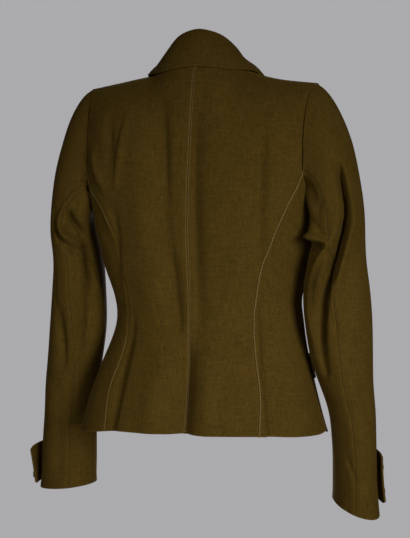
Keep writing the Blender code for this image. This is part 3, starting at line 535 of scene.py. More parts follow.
FRONT_CREASES = np.array([
    (128, -180, 105, -200, 88, -225, -2.2, 7, 11),
    (-128, -178, -108, -205, -90, -222, -2, 7, 10),
    (120, -335, 90, -348, 45, -335, -1.6, 8, 12),
    (-122, -340, -85, -352, -40, -338, -1.8, 8, 11),
    (80, -185, 74, -290, 70, -400, -1.2, 3, 3),
    (-80, -185, -74, -290, -70, -400, -1.2, 3, 3),
    (85, -390, 88, -450, 94, -540, -3.6, 12, 16),
    (-80, -385, -84, -450, -92, -540, -4, 16, 12),
    (118, -80, 112, -120, 116, -160, -1.8, 8, 12),
    (-116, -85, -112, -125, -114, -155, -1.8, 9, 12),
    (-20, -325, -50, -318, -75, -300, -1.2, 6, 9),
]) / 1000


LAYER_AIR = 0.0012       # between the right front and the left one under it
LAYER_EDGE, LAYER_LOW = (-0.050, 0.028), (0.130, 0.060)
RIPPLES, RIPPLE_LEAN = 9, np.array([1.3, 1.3, 0.7])
RIPPLE_RATE = (60, 150)  # radians for each metre


def layered(grid, side):
    """The right front lies over the left one, so it is moved out near the centre front."""
    n = normals(grid, body_core(grid))
    lift = grown(-grid[..., 0] * side, *LAYER_EDGE) * grown(-grid[..., 2], *LAYER_LOW)
    return grid + n * (lift * (WALL + LAYER_AIR))[..., None] * (side < 0)


def ripples(grid, size, seed):
    """Slow unevenness that no table lists: a few waves of mixed direction and length."""
    rng = np.random.default_rng(seed)
    out = np.zeros(grid.shape[:2])
    for _ in range(RIPPLES):
        way = rng.normal(size=3) * RIPPLE_LEAN
        way *= rng.uniform(*RIPPLE_RATE) / np.linalg.norm(way)
        out += np.sin(grid @ way + rng.uniform(0, 6.28)) / 3
    return out * size


BODY_RIPPLE, BODY_SEED = 0.0004, 11
body = {}
for tag, side in SIDES.items():
    nets = {}
    for part, creases in (("back", BACK_CREASES), ("side", BACK_CREASES),
                          ("front", FRONT_CREASES)):
        g = eased(raw[tag][part])
        g = creased(g, body_core(g), g[..., 0], creases)
        g += unit(g - body_core(g)) * ripples(g, BODY_RIPPLE, BODY_SEED)[..., None]
        nets[part] = g
    nets["side"][:, 0] = nets["back"][:LOW_ROWS, -1]
    nets["front"][:LOW_ROWS, 0] = nets["side"][:, -1]
    nets["front"] = layered(nets["front"], side)
    body[tag] = nets
print("creases on the body:", len(BACK_CREASES) + len(FRONT_CREASES))

# %% [markdown]
# ## From a net to a piece of cloth
# A cut piece has two faces and a turned edge all round. The net is read again with extra lines
# close to its edges, the outer face rolls over there, and a rim joins it to the inner face. Next
# to a seam the turnings are pressed open underneath, and show as a soft step along it. Each
# point also gets its place on the flat cloth, in metres, for the weave to follow.

# %% Cloth from a net
ROLL = 0.0009            # radius of a turned edge
NEAR_EDGE = np.array([0.00025, 0.0006, 0.0011, 0.0018, 0.0028])
STEP_HIGH, STEP_RAMP = 0.00055, 0.0022   # turnings under a seam
STEP_END, STEP_FADE = 0.011475, 0.00425
HALF_SEAM = SEAM / 12    # sewn edges meet: far closer than the solids, no light between them
# an edge line of a net and the next line in, by the letter of the edge
EDGES = {"l": np.s_[:, :2], "r": np.s_[:, :-3:-1], "b": np.s_[:2], "t": np.s_[:-3:-1]}
cut, made = {}, {}       # the objects, and the points and directions that they came from
print("closer lines at each edge:", len(NEAR_EDGE))


def new_mesh(name, verts, faces, edges=()):
    mesh = bpy.data.meshes.new(name)
    mesh.from_pydata(verts, edges, faces)
    return mesh


def drawn_in(grid, edges):
    """Pull the sewn edges of a net in, so that neighbours stay a hair apart."""
    g = grid.copy()
    for k in edges:
        pair = g[EDGES[k]] if k in "bt" else g[EDGES[k]].transpose(1, 0, 2)
        pair[0] += unit(pair[1] - pair[0]) * HALF_SEAM
    return g


# %% Reading a net more finely at its edges
def reading_places(n, first, last):
    """Where a net of n lines is read: every line, and closer lines near its two edges."""
    places = np.arange(n, dtype=float)
    near0, near1 = NEAR_EDGE / first, n - 1 - NEAR_EDGE / last
    keep = (places == 0) | (places == n - 1) | ((places > near0[-1] + 0.4)
                                                & (places < near1[-1] - 0.4))
    return np.sort(np.concatenate([places[keep], near0[near0 < (n - 1) / 2],
                                   near1[near1 > (n - 1) / 2]]))


def gaps(grid):
    """Distances from point to point across the net, and up it."""
    return [np.linalg.norm(np.diff(grid, axis=k), axis=2) for k in (1, 0)]


def runs(grid):
    """Distances along the net from its left, right, bottom and top edges."""
    across, up = gaps(grid)
    left = np.pad(np.cumsum(across, 1), ((0, 0), (1, 0)))
    low = np.pad(np.cumsum(up, 0), ((1, 0), (0, 0)))
    return {"l": left, "r": left[:, -1:] - left, "b": low, "t": low[-1:] - low}


print("10 steps of 5 mm are read on", len(reading_places(11, 0.005, 0.005)), "lines")


# %% Cut one piece
def cloth(name, grid, n, seams="", grain=0.5, wall=WALL, roll=ROLL):
    """Cut one closed piece. seams names its sewn edges (l r b t), with turnings under them."""
    grid = drawn_in(grid, seams)
    across, up = gaps(grid)
    wr, wc = (curve_weights(size, reading_places(size, first.mean(), last.mean()))
              for size, first, last in ((len(grid), up[0], up[-1]),
                                        (len(grid[0]), across[:, 0], across[:, -1])))
    g, m = (np.einsum("ri,ijk,cj->rck", wr, net, wc, optimize=True) for net in (grid, n))
    m, far = unit(m), runs(g)
    edge = np.minimum.reduce(list(far.values()))
    short = roll - np.minimum(edge, roll)
    drop = roll - np.sqrt(np.maximum(roll ** 2 - short ** 2, 0))
    rise = np.zeros_like(drop)
    for k in seams:
        rise = np.maximum(rise, STEP_HIGH * grown(far[k], 0, STEP_RAMP)
                          * grown(-far[k], -STEP_END, STEP_FADE))
    face, back = g + m * (rise - drop)[..., None], g - m * wall
    anchor = int(round(grain * (g.shape[1] - 1)))
    flat = np.stack([far["l"] - far["l"][:, anchor:anchor + 1],
                     np.broadcast_to(far["b"][:, anchor:anchor + 1], far["l"].shape)], -1)
    made[name] = dict(face=face, n=m, far=far)
    cut[name] = placed("wool_" + name, shell_mesh("wool_" + name, face, back, flat, edge))
    print(name, len(cut[name].data.polygons), "faces")


def shell_mesh(name, face, back, flat, edge):
    """Two faces and the rim between them, with the flat cloth's map and the edge distance."""
    half = face.shape[0] * face.shape[1]
    ident = np.arange(half).reshape(face.shape[:2])
    q = np.stack([ident[:-1, :-1], ident[:-1, 1:], ident[1:, 1:], ident[1:, :-1]], -1)
    q = q.reshape(-1, 4)
    rim = np.concatenate([ident[0], ident[1:, -1], ident[-1, -2::-1], ident[-2:0:-1, 0]])
    nxt = np.roll(rim, -1)
    faces = np.concatenate([q, q[:, ::-1] + half,
                            np.stack([nxt, rim, rim + half, nxt + half], -1)])
    verts = np.concatenate([face.reshape(-1, 3), back.reshape(-1, 3)])
    p = verts[faces]
    volume = sum(np.einsum("ij,ij->", p[:, 0], np.cross(p[:, k], p[:, k + 1])) for k in (1, 2))
    if volume < 0:
        faces = faces[:, ::-1]
    mesh = new_mesh(name, verts.tolist(), faces.tolist())
    uv = mesh.uv_layers.new(name="flat_cloth")
    both = np.concatenate([flat.reshape(-1, 2)] * 2)
    uv.data.foreach_set("uv", both[faces.reshape(-1)].astype(np.float32).reshape(-1))
    near = mesh.attributes.new("edge_run", "FLOAT", "POINT")
    near.data.foreach_set("value", np.concatenate([edge.reshape(-1)] * 2).astype(np.float32))
    mesh.shade_smooth()
    mesh.validate()
    return mesh


def shared(a, at_a, b, at_b):
    """The same directions on both sides of a seam."""
    m = unit(a[at_a] + b[at_b])
    a[at_a] = m
    b[at_b] = m


# %% [markdown]
# ## Back, side back and front
# Six pieces make the body. The directions of the cloth are shared along each seam, so that two
# pieces meet flush with only the fine valley of the seam between them.

# %% Cut the body
for tag in SIDES:
    nets = body[tag]
    ways = nets["ways"] = {k: normals(g, body_core(g)) for k, g in nets.items()}
    shared(ways["back"], np.s_[:LOW_ROWS, -1], ways["side"], np.s_[:, 0])
    shared(ways["side"], np.s_[:, -1], ways["front"], np.s_[:LOW_ROWS, 0])
    ways["back"][:, 0, 0] = 0
    ways["back"] = unit(ways["back"])
    cloth("back_" + tag, nets["back"], ways["back"], "lrt", 0.0)
    cloth("side_back_" + tag, nets["side"], ways["side"], "lr")
    cloth("front_" + tag, nets["front"], ways["front"], "lt", 1.0)

# %% [markdown]
# ## Sleeves
# A sleeve head is set into the armhole with its fullness eased in, drops over the shoulder
# point and becomes a tube of slowly changing rings. Each sleeve is two pieces with a seam down
# the back and one inside the front. The rings are tables because the two arms hang differently.

# %% The sleeve nets
CAP_ROWS, CAP_OUT = 5, 0.0005
UNDER_FOLLOWS = 0.25     # how much of the back seam's turn the inside of the sleeve takes on
ARM_SHARES = (0, 0.06, 0.13, 0.20, 0.29, 0.39, 0.50, 0.61, 0.72, 0.82, 0.91, 1.0)
I_BACK = N_ARCH + N_MID
I_UNDER = I_BACK + N_SIDE
I_FRONT = I_UNDER + N_UNDER - 1
I_ALL = I_UNDER + N_UNDER + N_ARCH
TOP_RING = SLEEVE_L[-1][0]


def sleeve_ring(tag, z, deg):
    """Points of the sleeve ring at height z; 0 degrees is the outer side, 90 the back."""
    at, side = sleeve_at[tag], SIDES[tag]
    w = np.radians(deg)
    p, q = at("half_w", z) * np.cos(w), at("half_d", z) * np.sin(w)
    turn, tilt, lean = (np.radians(at(k, z)) for k in ("turn", "tilt", "lean"))
    p, q = p * np.cos(turn) + q * np.sin(turn), -p * np.sin(turn) + q * np.cos(turn)
    return np.stack([side * (at("x", z) + p), at("y", z) + q * np.cos(tilt),
                     z - q * np.sin(tilt) - p * np.sin(lean)], axis=-1)


def sleeve_core(tag, grid):
    """The middle of the sleeve at the height of each point."""
    z = grid[..., 2]
    return np.stack([SIDES[tag] * sleeve_at[tag]("x", z), sleeve_at[tag]("y", z),
                     np.minimum(z, CHEST_Z)], axis=-1)


def armhole(tag):
    """The armhole of the fine body, one place for each fine column of the sleeve."""
    g = body[tag]
    parts = []
    for line, n in ((g["back"][:, -1][::-1][:fine(N_ARCH + N_MID) + 1], I_BACK),
                    (g["side"][-1], N_SIDE),
                    (g["front"][:, 0][fine(N_LOW):], N_UNDER + N_ARCH)):
        places = np.linspace(0, len(line) - 1, fine_c(n) + 1)[:-1]
        parts.append(np.stack([np.interp(places, np.arange(len(line)), line[:, k])
                               for k in range(3)], 1))
    return np.concatenate(parts)


def sleeve_net(tag):
    loop = armhole(tag)
    into = loop.mean(axis=0) - loop
    into[:, 0] = 0
    start = loop + unit(into) * SEAM + np.array([SIDES[tag] * CAP_OUT, 0, 0])
    index = np.arange(fine_c(I_ALL)) / FINE_COLS

    def degrees(z):
        seam = float(sleeve_at[tag]("back_seam", z))
        return np.interp(index, [0, I_BACK, I_UNDER, I_FRONT, I_ALL],
                         [0, seam, 180 + (seam - 90) * UNDER_FOLLOWS, FRONT_SEAM, 360])
    rows = [start]
    goal = sleeve_ring(tag, TOP_RING, degrees(TOP_RING))
    for psi in steps(fine(CAP_ROWS))[1:] * math.pi / 2:
        p = start + (goal - start) * math.sin(psi) ** CAP_SQUARE[tag]
        p[:, 2] = start[:, 2] + (goal[:, 2] - start[:, 2]) * (1 - math.cos(psi))
        rows.append(p)
    low = float(sleeve_at[tag]("z", -1.0))
    turns = [degrees(TOP_RING)] * len(rows)
    count = len(ARM_SHARES) - 1
    for share in np.interp(np.arange(1, count * FINE_ROWS + 1) / FINE_ROWS, range(count + 1),
                           ARM_SHARES):
        z = TOP_RING + (low - TOP_RING) * share
        rows.append(sleeve_ring(tag, z, degrees(z)))
        turns.append(degrees(z))
    return np.array(rows), np.array(turns)


print("points round an armhole:", len(armhole("l")))

# %% [markdown]
# ## Creases of the sleeves
# The left elbow holds a hooked trough with a rolled fold under it. The right elbow stands out
# in a soft bulge, and a long diagonal fold falls from it to the inside of the forearm. Places
# are degrees round the ring, from the outer side towards the back, and the height.

# %% Creases of the sleeves
# columns as before, with degrees for at0, at1 and at2 and millimetres for the rest
ARM_UNITS = (1, 1000, 1, 1000, 1, 1000, 1000, 1000, 1000)
ARM_CREASES = {
    "l": np.array([
        (132, -160, 143, -190, 140, -228, 14.5, 17, 17),
        (76, -164, 98, -156, 124, -159, -3.5, 3, 4),
        (124, -160, 96, -182, 84, -214, 5, 5, 5),
        (84, -212, 90, -243, 128, -243, 11, 4, 5),
        (104, -199, 116, -214, 150, -237, -19, 5, 5.5),
        (96, -210, 110, -233, 140, -239, -10, 6, 6),
        (66, -206, 72, -234, 98, -251, -12, 8, 5.5),
        (136, -240, 146, -262, 152, -325, -24, 15, 5),
        (100, -252, 120, -260, 146, -255, -11, 4.5, 7),
        (98, -168, 106, -176, 112, -188, 3, 14, 14),
        (74, -345, 84, -385, 93, -435, -8, 7, 11),
        (100, -280, 104, -360, 112, -430, 2.5, 12, 12),
        (151, -272, 160, -290, 175, -318, 3.5, 4, 4),
        (146, -262, 143, -330, 134, -405, -11, 10, 8),
        (60, -285, 58, -310, 66, -345, -2, 6, 8),
        (118, -440, 122, -500, 118, -560, -2.8, 6, 10),
        (86, -460, 92, -520, 90, -590, -2.2, 8, 12),
        (104, -560, 108, -590, 104, -618, 1.6, 6, 8),
        (285, -250, 262, -264, 238, -268, -6, 8, 11),
        (282, -222, 262, -236, 240, -232, 4.5, 9, 10),
        (300, -180, 270, -206, 240, -212, -3.5, 6, 8),
        (318, -262, 300, -280, 262, -290, -3, 6, 8),
        (330, -230, 345, -300, 350, -380, -2.4, 9, 14),
        (300, -330, 310, -400, 305, -480, 2.2, 12, 10),
        (15, -160, 24, -210, 20, -270, -2.2, 7, 11),
    ]) / ARM_UNITS,
    "r": np.array([
        (128, -222, 138, -232, 146, -244, 11, 20, 20),
        (48, -208, 68, -244, 92, -312, -36, 8.5, 6),
        (84, -285, 106, -340, 118, -425, -26, 9.5, 5.5),
        (45, -186, 43, -210, 56, -236, -15, 7.5, 5.5),
        (138, -165, 142, -190, 140, -222, 10, 15, 15),
        (38, -212, 58, -250, 86, -330, 6.5, 6, 8),
        (64, -196, 92, -244, 113, -330, 3, 8, 8),
        (49, -138, 55, -172, 42, -210, -26, 7.5, 5.5),
        (156, -236, 122, -241, 92, -246, 15, 6.5, 4),
        (158, -254, 126, -255, 102, -251, -20, 4.5, 7.5),
        (92, -246, 108, -260, 132, -300, 7, 4, 5),
        (132, -296, 136, -335, 133, -385, 4.5, 4, 6),
        (112, -205, 84, -195, 44, -207, -2.6, 4, 5),
        (98, -186, 112, -200, 128, -202, -2.2, 4, 6),
        (60, -285, 64, -330, 62, -380, -1.8, 6, 10),
        (88, -345, 82, -360, 74, -395, -2.2, 5, 7),
        (56, -400, 60, -450, 54, -520, -1.6, 6, 11),
        (84, -420, 80, -480, 84, -540, 1.4, 8, 10),
        (130, -552, 116, -566, 104, -590, -3, 4, 6),
        (282, -248, 260, -260, 236, -262, -6, 9, 11),
        (285, -218, 262, -230, 238, -228, 4.5, 9, 10),
        (305, -180, 275, -200, 244, -205, -3.5, 6, 8),
        (315, -258, 298, -274, 266, -284, -3, 6, 8),
        (335, -250, 348, -320, 352, -400, -2.4, 9, 14),
        (300, -340, 306, -410, 300, -500, 2.2, 12, 10),
    ]) / ARM_UNITS,
}
ARM_SCALE = 0.050 * math.pi / 180        # metres of cloth for one degree
SLEEVE_RIPPLE, SLEEVE_SEED = 0.0005, 23
WRAP = 3                 # columns repeated past the join of a ring

for tag in SIDES:
    net, turns = sleeve_net(tag)
    net = eased(net, ring=True)
    core = sleeve_core(tag, net)
    pushed = creased(net, core, turns, ARM_CREASES[tag], ARM_SCALE)
    pushed += unit(net - core) * ripples(net, SLEEVE_RIPPLE, SLEEVE_SEED)[..., None]
    share = smooth(np.arange(len(net)) / FINE_ROWS)          # none of it at the armhole
    net += (pushed - net) * share[:, None, None]
    wide = np.concatenate([net[:, -WRAP:], net, net[:, :WRAP]], axis=1)
    ways = normals(wide, sleeve_core(tag, wide))[:, WRAP:-WRAP]
    a, b = fine_c(I_BACK), fine_c(I_FRONT)
    upper, upper_ways = (np.concatenate([g[:, b:], g[:, :a + 1]], axis=1) for g in (net, ways))
    cloth("sleeve_upper_" + tag, upper, upper_ways, "lr")
    cloth("sleeve_under_" + tag, net[:, a:b + 1], ways[:, a:b + 1], "lr")

# %% [markdown]
# ## Pieces that lie on others
# Lapels, the fall of the collar and the tabs all lie on a panel. Each is made from the panel's
# own points, moved out by its wall and a little air, so it follows every swell under it.


# %% Places on a panel
def on_net(part, tag, row, col, off):
    """Points of a panel at coarse rows and columns, moved out by off, and the ways out."""
    row, col = np.asarray(row, float) * FINE_ROWS, np.asarray(col, float) * FINE_COLS
    grid = body[tag][part]
    r = np.clip(row.astype(int), 0, grid.shape[0] - 2)
    c = np.clip(col.astype(int), 0, grid.shape[1] - 2)
    fr, fc = (row - r)[..., None], (col - c)[..., None]
    place, m = ((g[r, c] * (1 - fc) + g[r, c + 1] * fc) * (1 - fr)
                + (g[r + 1, c] * (1 - fc) + g[r + 1, c + 1] * fc) * fr
                for g in (grid, body[tag]["ways"][part]))
    m = unit(m)
    return place + m * np.asarray(off)[..., None], m


print("top of the side seam:", on_net("front", "l", N_LOW, 0, 0.0)[0].round(3))

# %% Lapels
GORGE, GORGE_SLOPE = ROW_TOP - 2.75, 0.21
LAPEL_COLS = ("at", "wide")
LAPEL = [(0.00, 0.15), (0.15, 1.3), (0.30, 2.7), (0.50, 4.5), (0.75, 6.3), (1.00, 7.6)]
lapel_at = lookup(LAPEL_COLS, LAPEL)
LAPEL_STEPS = (80, 36)
LAPEL_FOOT = {"l": 0.90, "r": 0.12}      # coarse rows from the break to the foot of the lapel
TUCK, TUCK_ROWS = {"l": 2.3, "r": 0.0}, 1.25     # the left one's foot goes under the right front
LAPEL_AIR, LAPEL_LIFT, LAPEL_ROLL, ROLL_FROM = 0.0012, 0.0014, 0.0030, 0.35


def lapel(tag):
    foot = N_LOW + LAPEL_FOOT[tag]
    t, u = steps(LAPEL_STEPS[0])[:, None], steps(LAPEL_STEPS[1])[None, :]
    level = foot + (GORGE - foot) * t
    wide = lapel_at("wide", (level - N_LOW) / (GORGE - N_LOW))
    tuck = np.maximum(0.0, N_LOW + TUCK_ROWS - level) * TUCK[tag]
    col = N_FRONT - (tuck + (wide - tuck) * (1 - u))
    row = level - GORGE_SLOPE * (N_FRONT - col) * t ** 2
    roll = LAPEL_ROLL * np.sin(math.pi * u) ** 1.5 * grown(t, 0, ROLL_FROM)
    off = LAY + WALL + LAPEL_AIR + LAPEL_LIFT * (1 - u) * t + roll
    return on_net("front", tag, row, col, off)[0]


for tag in SIDES:
    face = lapel(tag)
    cloth("lapel_" + tag, face, normals(face, body_core(face)), grain=1.0)

# %% [markdown]
# ## The collar
# One piece stands up from the neck seam, turns over at the crease and falls to lie on the back
# and fronts. It is worked out column by column: neck seam, stand, crease, fall. A fine curve
# through those places gives the roll its round section.

# %% The collar
COLLAR_COLS = ("at", "fold_x", "fold_y", "fold_z")
COLLAR = [
    (0.00, 0.0000, 0.0500, 0.0570), (0.25, 0.0190, 0.0465, 0.0540),
    (0.50, 0.0365, 0.0370, 0.0460), (0.75, 0.0490, 0.0210, 0.0345),
    (1.00, 0.0560, 0.0030, 0.0230),
]
fold_at = lookup(COLLAR_COLS, COLLAR)
COLLAR_ROLL = 0.0042
SHIFT = dict(at=(0.0, 0.5, 1.0), x=(-0.0050, -0.0045, -0.0015))     # a little to the right
EDGE_BACK = dict(at=(0.0, 0.25, 0.5, 0.75, 1.0), row=(-2.0, -1.95, -1.72, -1.22, -0.48),
                 col=(0.0, 1.2, 2.5, 3.8, 4.9))
EDGE_FRONT = dict(at=(0.0, 0.33, 0.66, 1.0), row=(0.0, -1.0, -2.1, -3.25),
                  col=(9.5, 8.3, 7.0, 5.8))
EDGE_SIDE = dict(at=(0.0, 0.5, 0.75, 1.0), l=(0.0, 0.0, 0.1, 0.15), r=(0.0, 0.0, -0.25, -0.30))
FALL = (0.30, 0.56, 0.80, 1.0)
LIE = LAY + COLLAR_WALL + 0.0016
UP = np.array([0, 0, 1.0])
BACK_COLUMNS, FRONT_COLUMNS, ROW_STEPS, COL_STEPS = 6, 7, 6, 8
STAND_BOW, CREST, FALL_BOW, FRONT_BOW = 0.0010, 0.0009, 0.0030, 0.0035
STAND = (0.5, 0.86)      # shares of the stand's height
SEAM_UP, CREST_UP, CREST_OFF = 0.0011, 0.0008, (0.0006, 0.0004)
SEAM_OFF, FOLD_OFF = 0.0010, 0.0052      # off the front, beside the roll line
SETTLED = 0.75           # from here on the fall lies on the front
PAST_GORGE, NOTCH_FROM, FALL_AIR = 0.03, (0.56, 0.44), 0.0012
CARRY, CARRY_END = 1.57, 0.6     # how the shift of the back's edge dies away on the front
INSIDE = 0.35            # from the edges and the crease towards the middle of the roll


def column(seam, fold, turn, out, rises, bow, fall):
    """Seam, two places up the stand, two over the fold, then the fall."""
    return [seam, lerp(seam, fold, STAND[0]) - out * bow, lerp(seam, fold, STAND[1]),
            fold + out * CREST + rises[0], turn - out * CREST + rises[1], *fall]


def collar_half(tag):
    """Columns of the collar from the centre back to its front end."""
    top = N_LOW + N_MID + N_ARCH
    columns = []
    for at in steps(BACK_COLUMNS):
        seam = on_net("back", tag, top, at * N_NECK, 0.0)[0] + UP * (LAY + SEAM_UP)
        fold = np.array([float(fold_at(k, at)) for k in COLLAR_COLS[1:]])
        fold[0] *= SIDES[tag]
        fold[0] += np.interp(at, SHIFT["at"], SHIFT["x"])
        r, c = (np.interp(at, EDGE_BACK["at"], EDGE_BACK[k]) for k in ("row", "col"))
        c += np.interp(at, EDGE_SIDE["at"], EDGE_SIDE[tag])
        edge = on_net("back", tag, r + top, c, LIE)[0]
        out = unit((edge - fold) * np.array([1, 1, 0]))
        turn = fold + out * COLLAR_ROLL
        fall = [lerp(turn, edge, q) + out * FALL_BOW * math.sin(math.pi * q) for q in FALL]
        columns.append(column(seam, fold, turn, out, (UP * CREST_UP,) * 2, STAND_BOW, fall))
    first = columns[-1]
    for at in steps(FRONT_COLUMNS)[1:]:
        r = ROW_TOP + (GORGE + PAST_GORGE - ROW_TOP) * at
        base, n = on_net("front", tag, r, N_FRONT - 1e-6, 0.0)
        inner, _ = on_net("front", tag, r, N_FRONT - 1.0, 0.0)
        d = unit(inner - base)
        w = grown(at, 0, SETTLED)
        seam = base + n * SEAM_OFF
        fold = lerp(first[3] + (seam - first[0]), base + n * FOLD_OFF, w)
        r2, c2 = (np.interp(at, EDGE_FRONT["at"], EDGE_FRONT[k]) for k in ("row", "col"))
        r2, c2 = r2 + ROW_TOP, c2 - EDGE_SIDE[tag][-1] * CARRY * (1 - grown(at, 0, CARRY_END))
        edge = on_net("front", tag, r2, c2, LIE)[0]
        turn = fold + d * COLLAR_ROLL
        fall = []
        for q in FALL:
            rq, cq = r + (r2 - r) * q, N_FRONT - 0.5 + (c2 - N_FRONT + 0.5) * q
            line = r - GORGE_SLOPE * (N_FRONT - cq)          # along the gorge, then the notch
            notch = r2 - (r - GORGE_SLOPE * (N_FRONT - c2))
            rq = lerp(rq, line + notch * grown(q, *NOTCH_FROM), at ** 4)
            lie = on_net("front", tag, rq, cq, LIE + FALL_AIR * (1 - q))[0]
            fall.append(lerp(lerp(turn, edge, q) + n * FRONT_BOW * math.sin(math.pi * q), lie, w))
        columns.append(column(seam, fold, turn, d, [n * k for k in CREST_OFF], 0.0, fall))
    return np.array(columns)


left, right = collar_half("l"), collar_half("r")
coarse = np.concatenate([left[::-1], right[1:]]).transpose(1, 0, 2)
wr, wc = refined(len(coarse), ROW_STEPS), refined(len(coarse[0]), COL_STEPS)
face = np.einsum("ri,ijk,cj->rck", wr, coarse, wc)
fold_row = face[3 * ROW_STEPS]
core = np.broadcast_to(lerp(lerp(face[0], face[-1], INSIDE), fold_row, INSIDE), face.shape)
cloth("collar", face, normals(face, core), wall=COLLAR_WALL)

# %% [markdown]
# ## Tabs
# A band crosses the outside of each cuff and its rear end stands off the sleeve; a short tab
# lies on each hip just ahead of the side seam. Both are small closed pieces with turned edges.

# %% Cuff tabs and hip tabs
TAB_COLS = ("up", "deep", "start", "end", "top", "foot", "droop")
TAB = {"l": (0.0085, 0.0585, -66.0, 30.0, 0.0158, 0.0045, 0.0050),
       "r": (0.0135, 0.0680, -82.0, 14.0, 0.0065, 0.0080, 0.0040)}
HIP = dict(row=0.281 * N_LOW, half=0.70, rear=0.52, fore=4.2, button=1.05)
HIP_REAR, HIP_REAR_END = (0.78, 1.0), 0.16       # a hip tab narrows at its rear end
TAB_FREE = 0.30          # from here to its rear end a cuff tab stands off the sleeve
CORNER_FROM, CORNER = 0.88, 0.13
TAB_AIR, HIP_AIR, HIP_BUTTON_AIR, FRONT_BUTTON_AIR = 0.0002, 0.0006, 0.0009, 0.0007
BUTTON_SIZE = {"cuff": 0.0062, "hip": 0.0075, "front": 0.0095}
CUFF_LOW = {"l": SLEEVE_L[0][0], "r": SLEEVE_R[0][0]}


def tab_face(tag, rows, cols):
    size = dict(zip(TAB_COLS, TAB[tag]))
    v = steps(rows)[:, None]
    u = steps(cols)[None, :] + 0 * v
    free = np.clip((u - TAB_FREE) / (1 - TAB_FREE), 0, 1)
    corner = 1 - CORNER * np.clip((u - CORNER_FROM) / (1 - CORNER_FROM), 0, 1) ** 2
    z = CUFF_LOW[tag] + size["up"] + size["deep"] * (0.5 + (0.5 - v) * corner)
    z = z - size["droop"] * free ** 2
    base = sleeve_ring(tag, z, size["start"] + (size["end"] - size["start"]) * u)
    n = normals(base, sleeve_core(tag, base))
    off = LAY + CUFF_TAB_WALL + TAB_AIR + lerp(size["top"], size["foot"], v) * free ** 2
    return base + n * off[..., None]


TAB_STEPS, HIP_STEPS, CUFF_TAB_ROLL = (40, 60), (24, 48), 0.0014
TAB_BUTTONS = ((12, 53), (31, 53))       # row and column on the cuff tab
FRONT_BUTTONS = (-0.255, -0.325, -0.395)
FRONT_ROWS = [N_LOW * (z - FRONT_HEM_Z) / (BREAK_Z - FRONT_HEM_Z) for z in FRONT_BUTTONS]
BUTTON_COL = N_FRONT - 0.74
seats = {}               # where each button sits: place, direction and radius
for tag in SIDES:
    face = tab_face(tag, *TAB_STEPS)
    ways = normals(face, sleeve_core(tag, face))
    cloth("cuff_tab_" + tag, face, ways, wall=CUFF_TAB_WALL, roll=CUFF_TAB_ROLL)
    for k, at in enumerate(TAB_BUTTONS):
        seats["cuff_button_%s%d" % (tag, k + 1)] = (face[at] + ways[at] * LAY, ways[at],
                                                     BUTTON_SIZE["cuff"])
    v, u = steps(HIP_STEPS[0])[:, None], steps(HIP_STEPS[1])[None, :]
    col = HIP["rear"] + (HIP["fore"] - HIP["rear"]) * u + 0 * v
    row = HIP["row"] + (v - 0.5) * 2 * HIP["half"] * lerp(*HIP_REAR, grown(u, 0, HIP_REAR_END))
    face, ways = on_net("front", tag, row, col, np.full(col.shape, LAY + TAB_WALL + HIP_AIR))
    cloth("hip_tab_" + tag, face, ways, wall=TAB_WALL)
    seats["hip_button_" + tag] = (*on_net("front", tag, HIP["row"], HIP["button"],
                                          LAY + TAB_WALL + HIP_BUTTON_AIR), BUTTON_SIZE["hip"])
for k, row in enumerate(FRONT_ROWS):
    seats["front_button_%d" % (k + 1)] = (
        *on_net("front", "r", row, BUTTON_COL, FRONT_BUTTON_AIR), BUTTON_SIZE["front"])
print("tabs: 4, buttons:", len(seats))

# %% [markdown]
# ## Topstitching
# The curved back seams and the collar of the real jacket show fine lines of stitches.
# Each line is a path on the finished cloth at a set distance from an edge. A node tree walks
# the path and lays one small spindle of thread per stitch, so pitch and thickness stay numbers.


# %% Paths beside the edges
THREAD_UP = 0.00025      # how far a path runs above the cloth


def beside(name, edge, away, start=0.0, stop=1.0):
    """A path along one edge (l r b t) of a cut piece, `away` metres in from it."""
    face, n, far = made[name]["face"], made[name]["n"], made[name]["far"][edge]
    if edge in "bt":
        face, n, far = face.transpose(1, 0, 2), n.transpose(1, 0, 2), far.T
    if edge in "rt":
        face, n, far = face[:, ::-1], n[:, ::-1], far[:, ::-1]
    last = len(face) - 1
    path = []
    for i in range(int(start * last), int(stop * last) + 1):
        place = np.interp(away, far[i], np.arange(face.shape[1]))
        k = min(int(place), face.shape[1] - 2)
        path.append(lerp(face[i, k], face[i, k + 1], place - k)
                    + lerp(n[i, k], n[i, k + 1], place - k) * THREAD_UP)
    return np.array(path)


print("points along the collar's edge:", len(beside("collar", "t", 0.005)))


# %% One way to add a node
def node(tree, kind, inputs=None, **settings):
    """A new node. An input takes a value, a socket, or a node for that node's first output."""
    new = tree.nodes.new(kind)
    for key, value in settings.items():
        setattr(new, key, value)
    for key, value in (inputs or {}).items():
        if isinstance(value, bpy.types.Node):
            value = value.outputs[0]
        if isinstance(value, bpy.types.NodeSocket):
            tree.links.new(value, new.inputs[key])
        else:
            new.inputs[key].default_value = value
    return new


# %% The stitching tree
STITCH = (("Stitch length", 0.0026), ("Gap", 0.0009), ("Thickness", 0.0006))


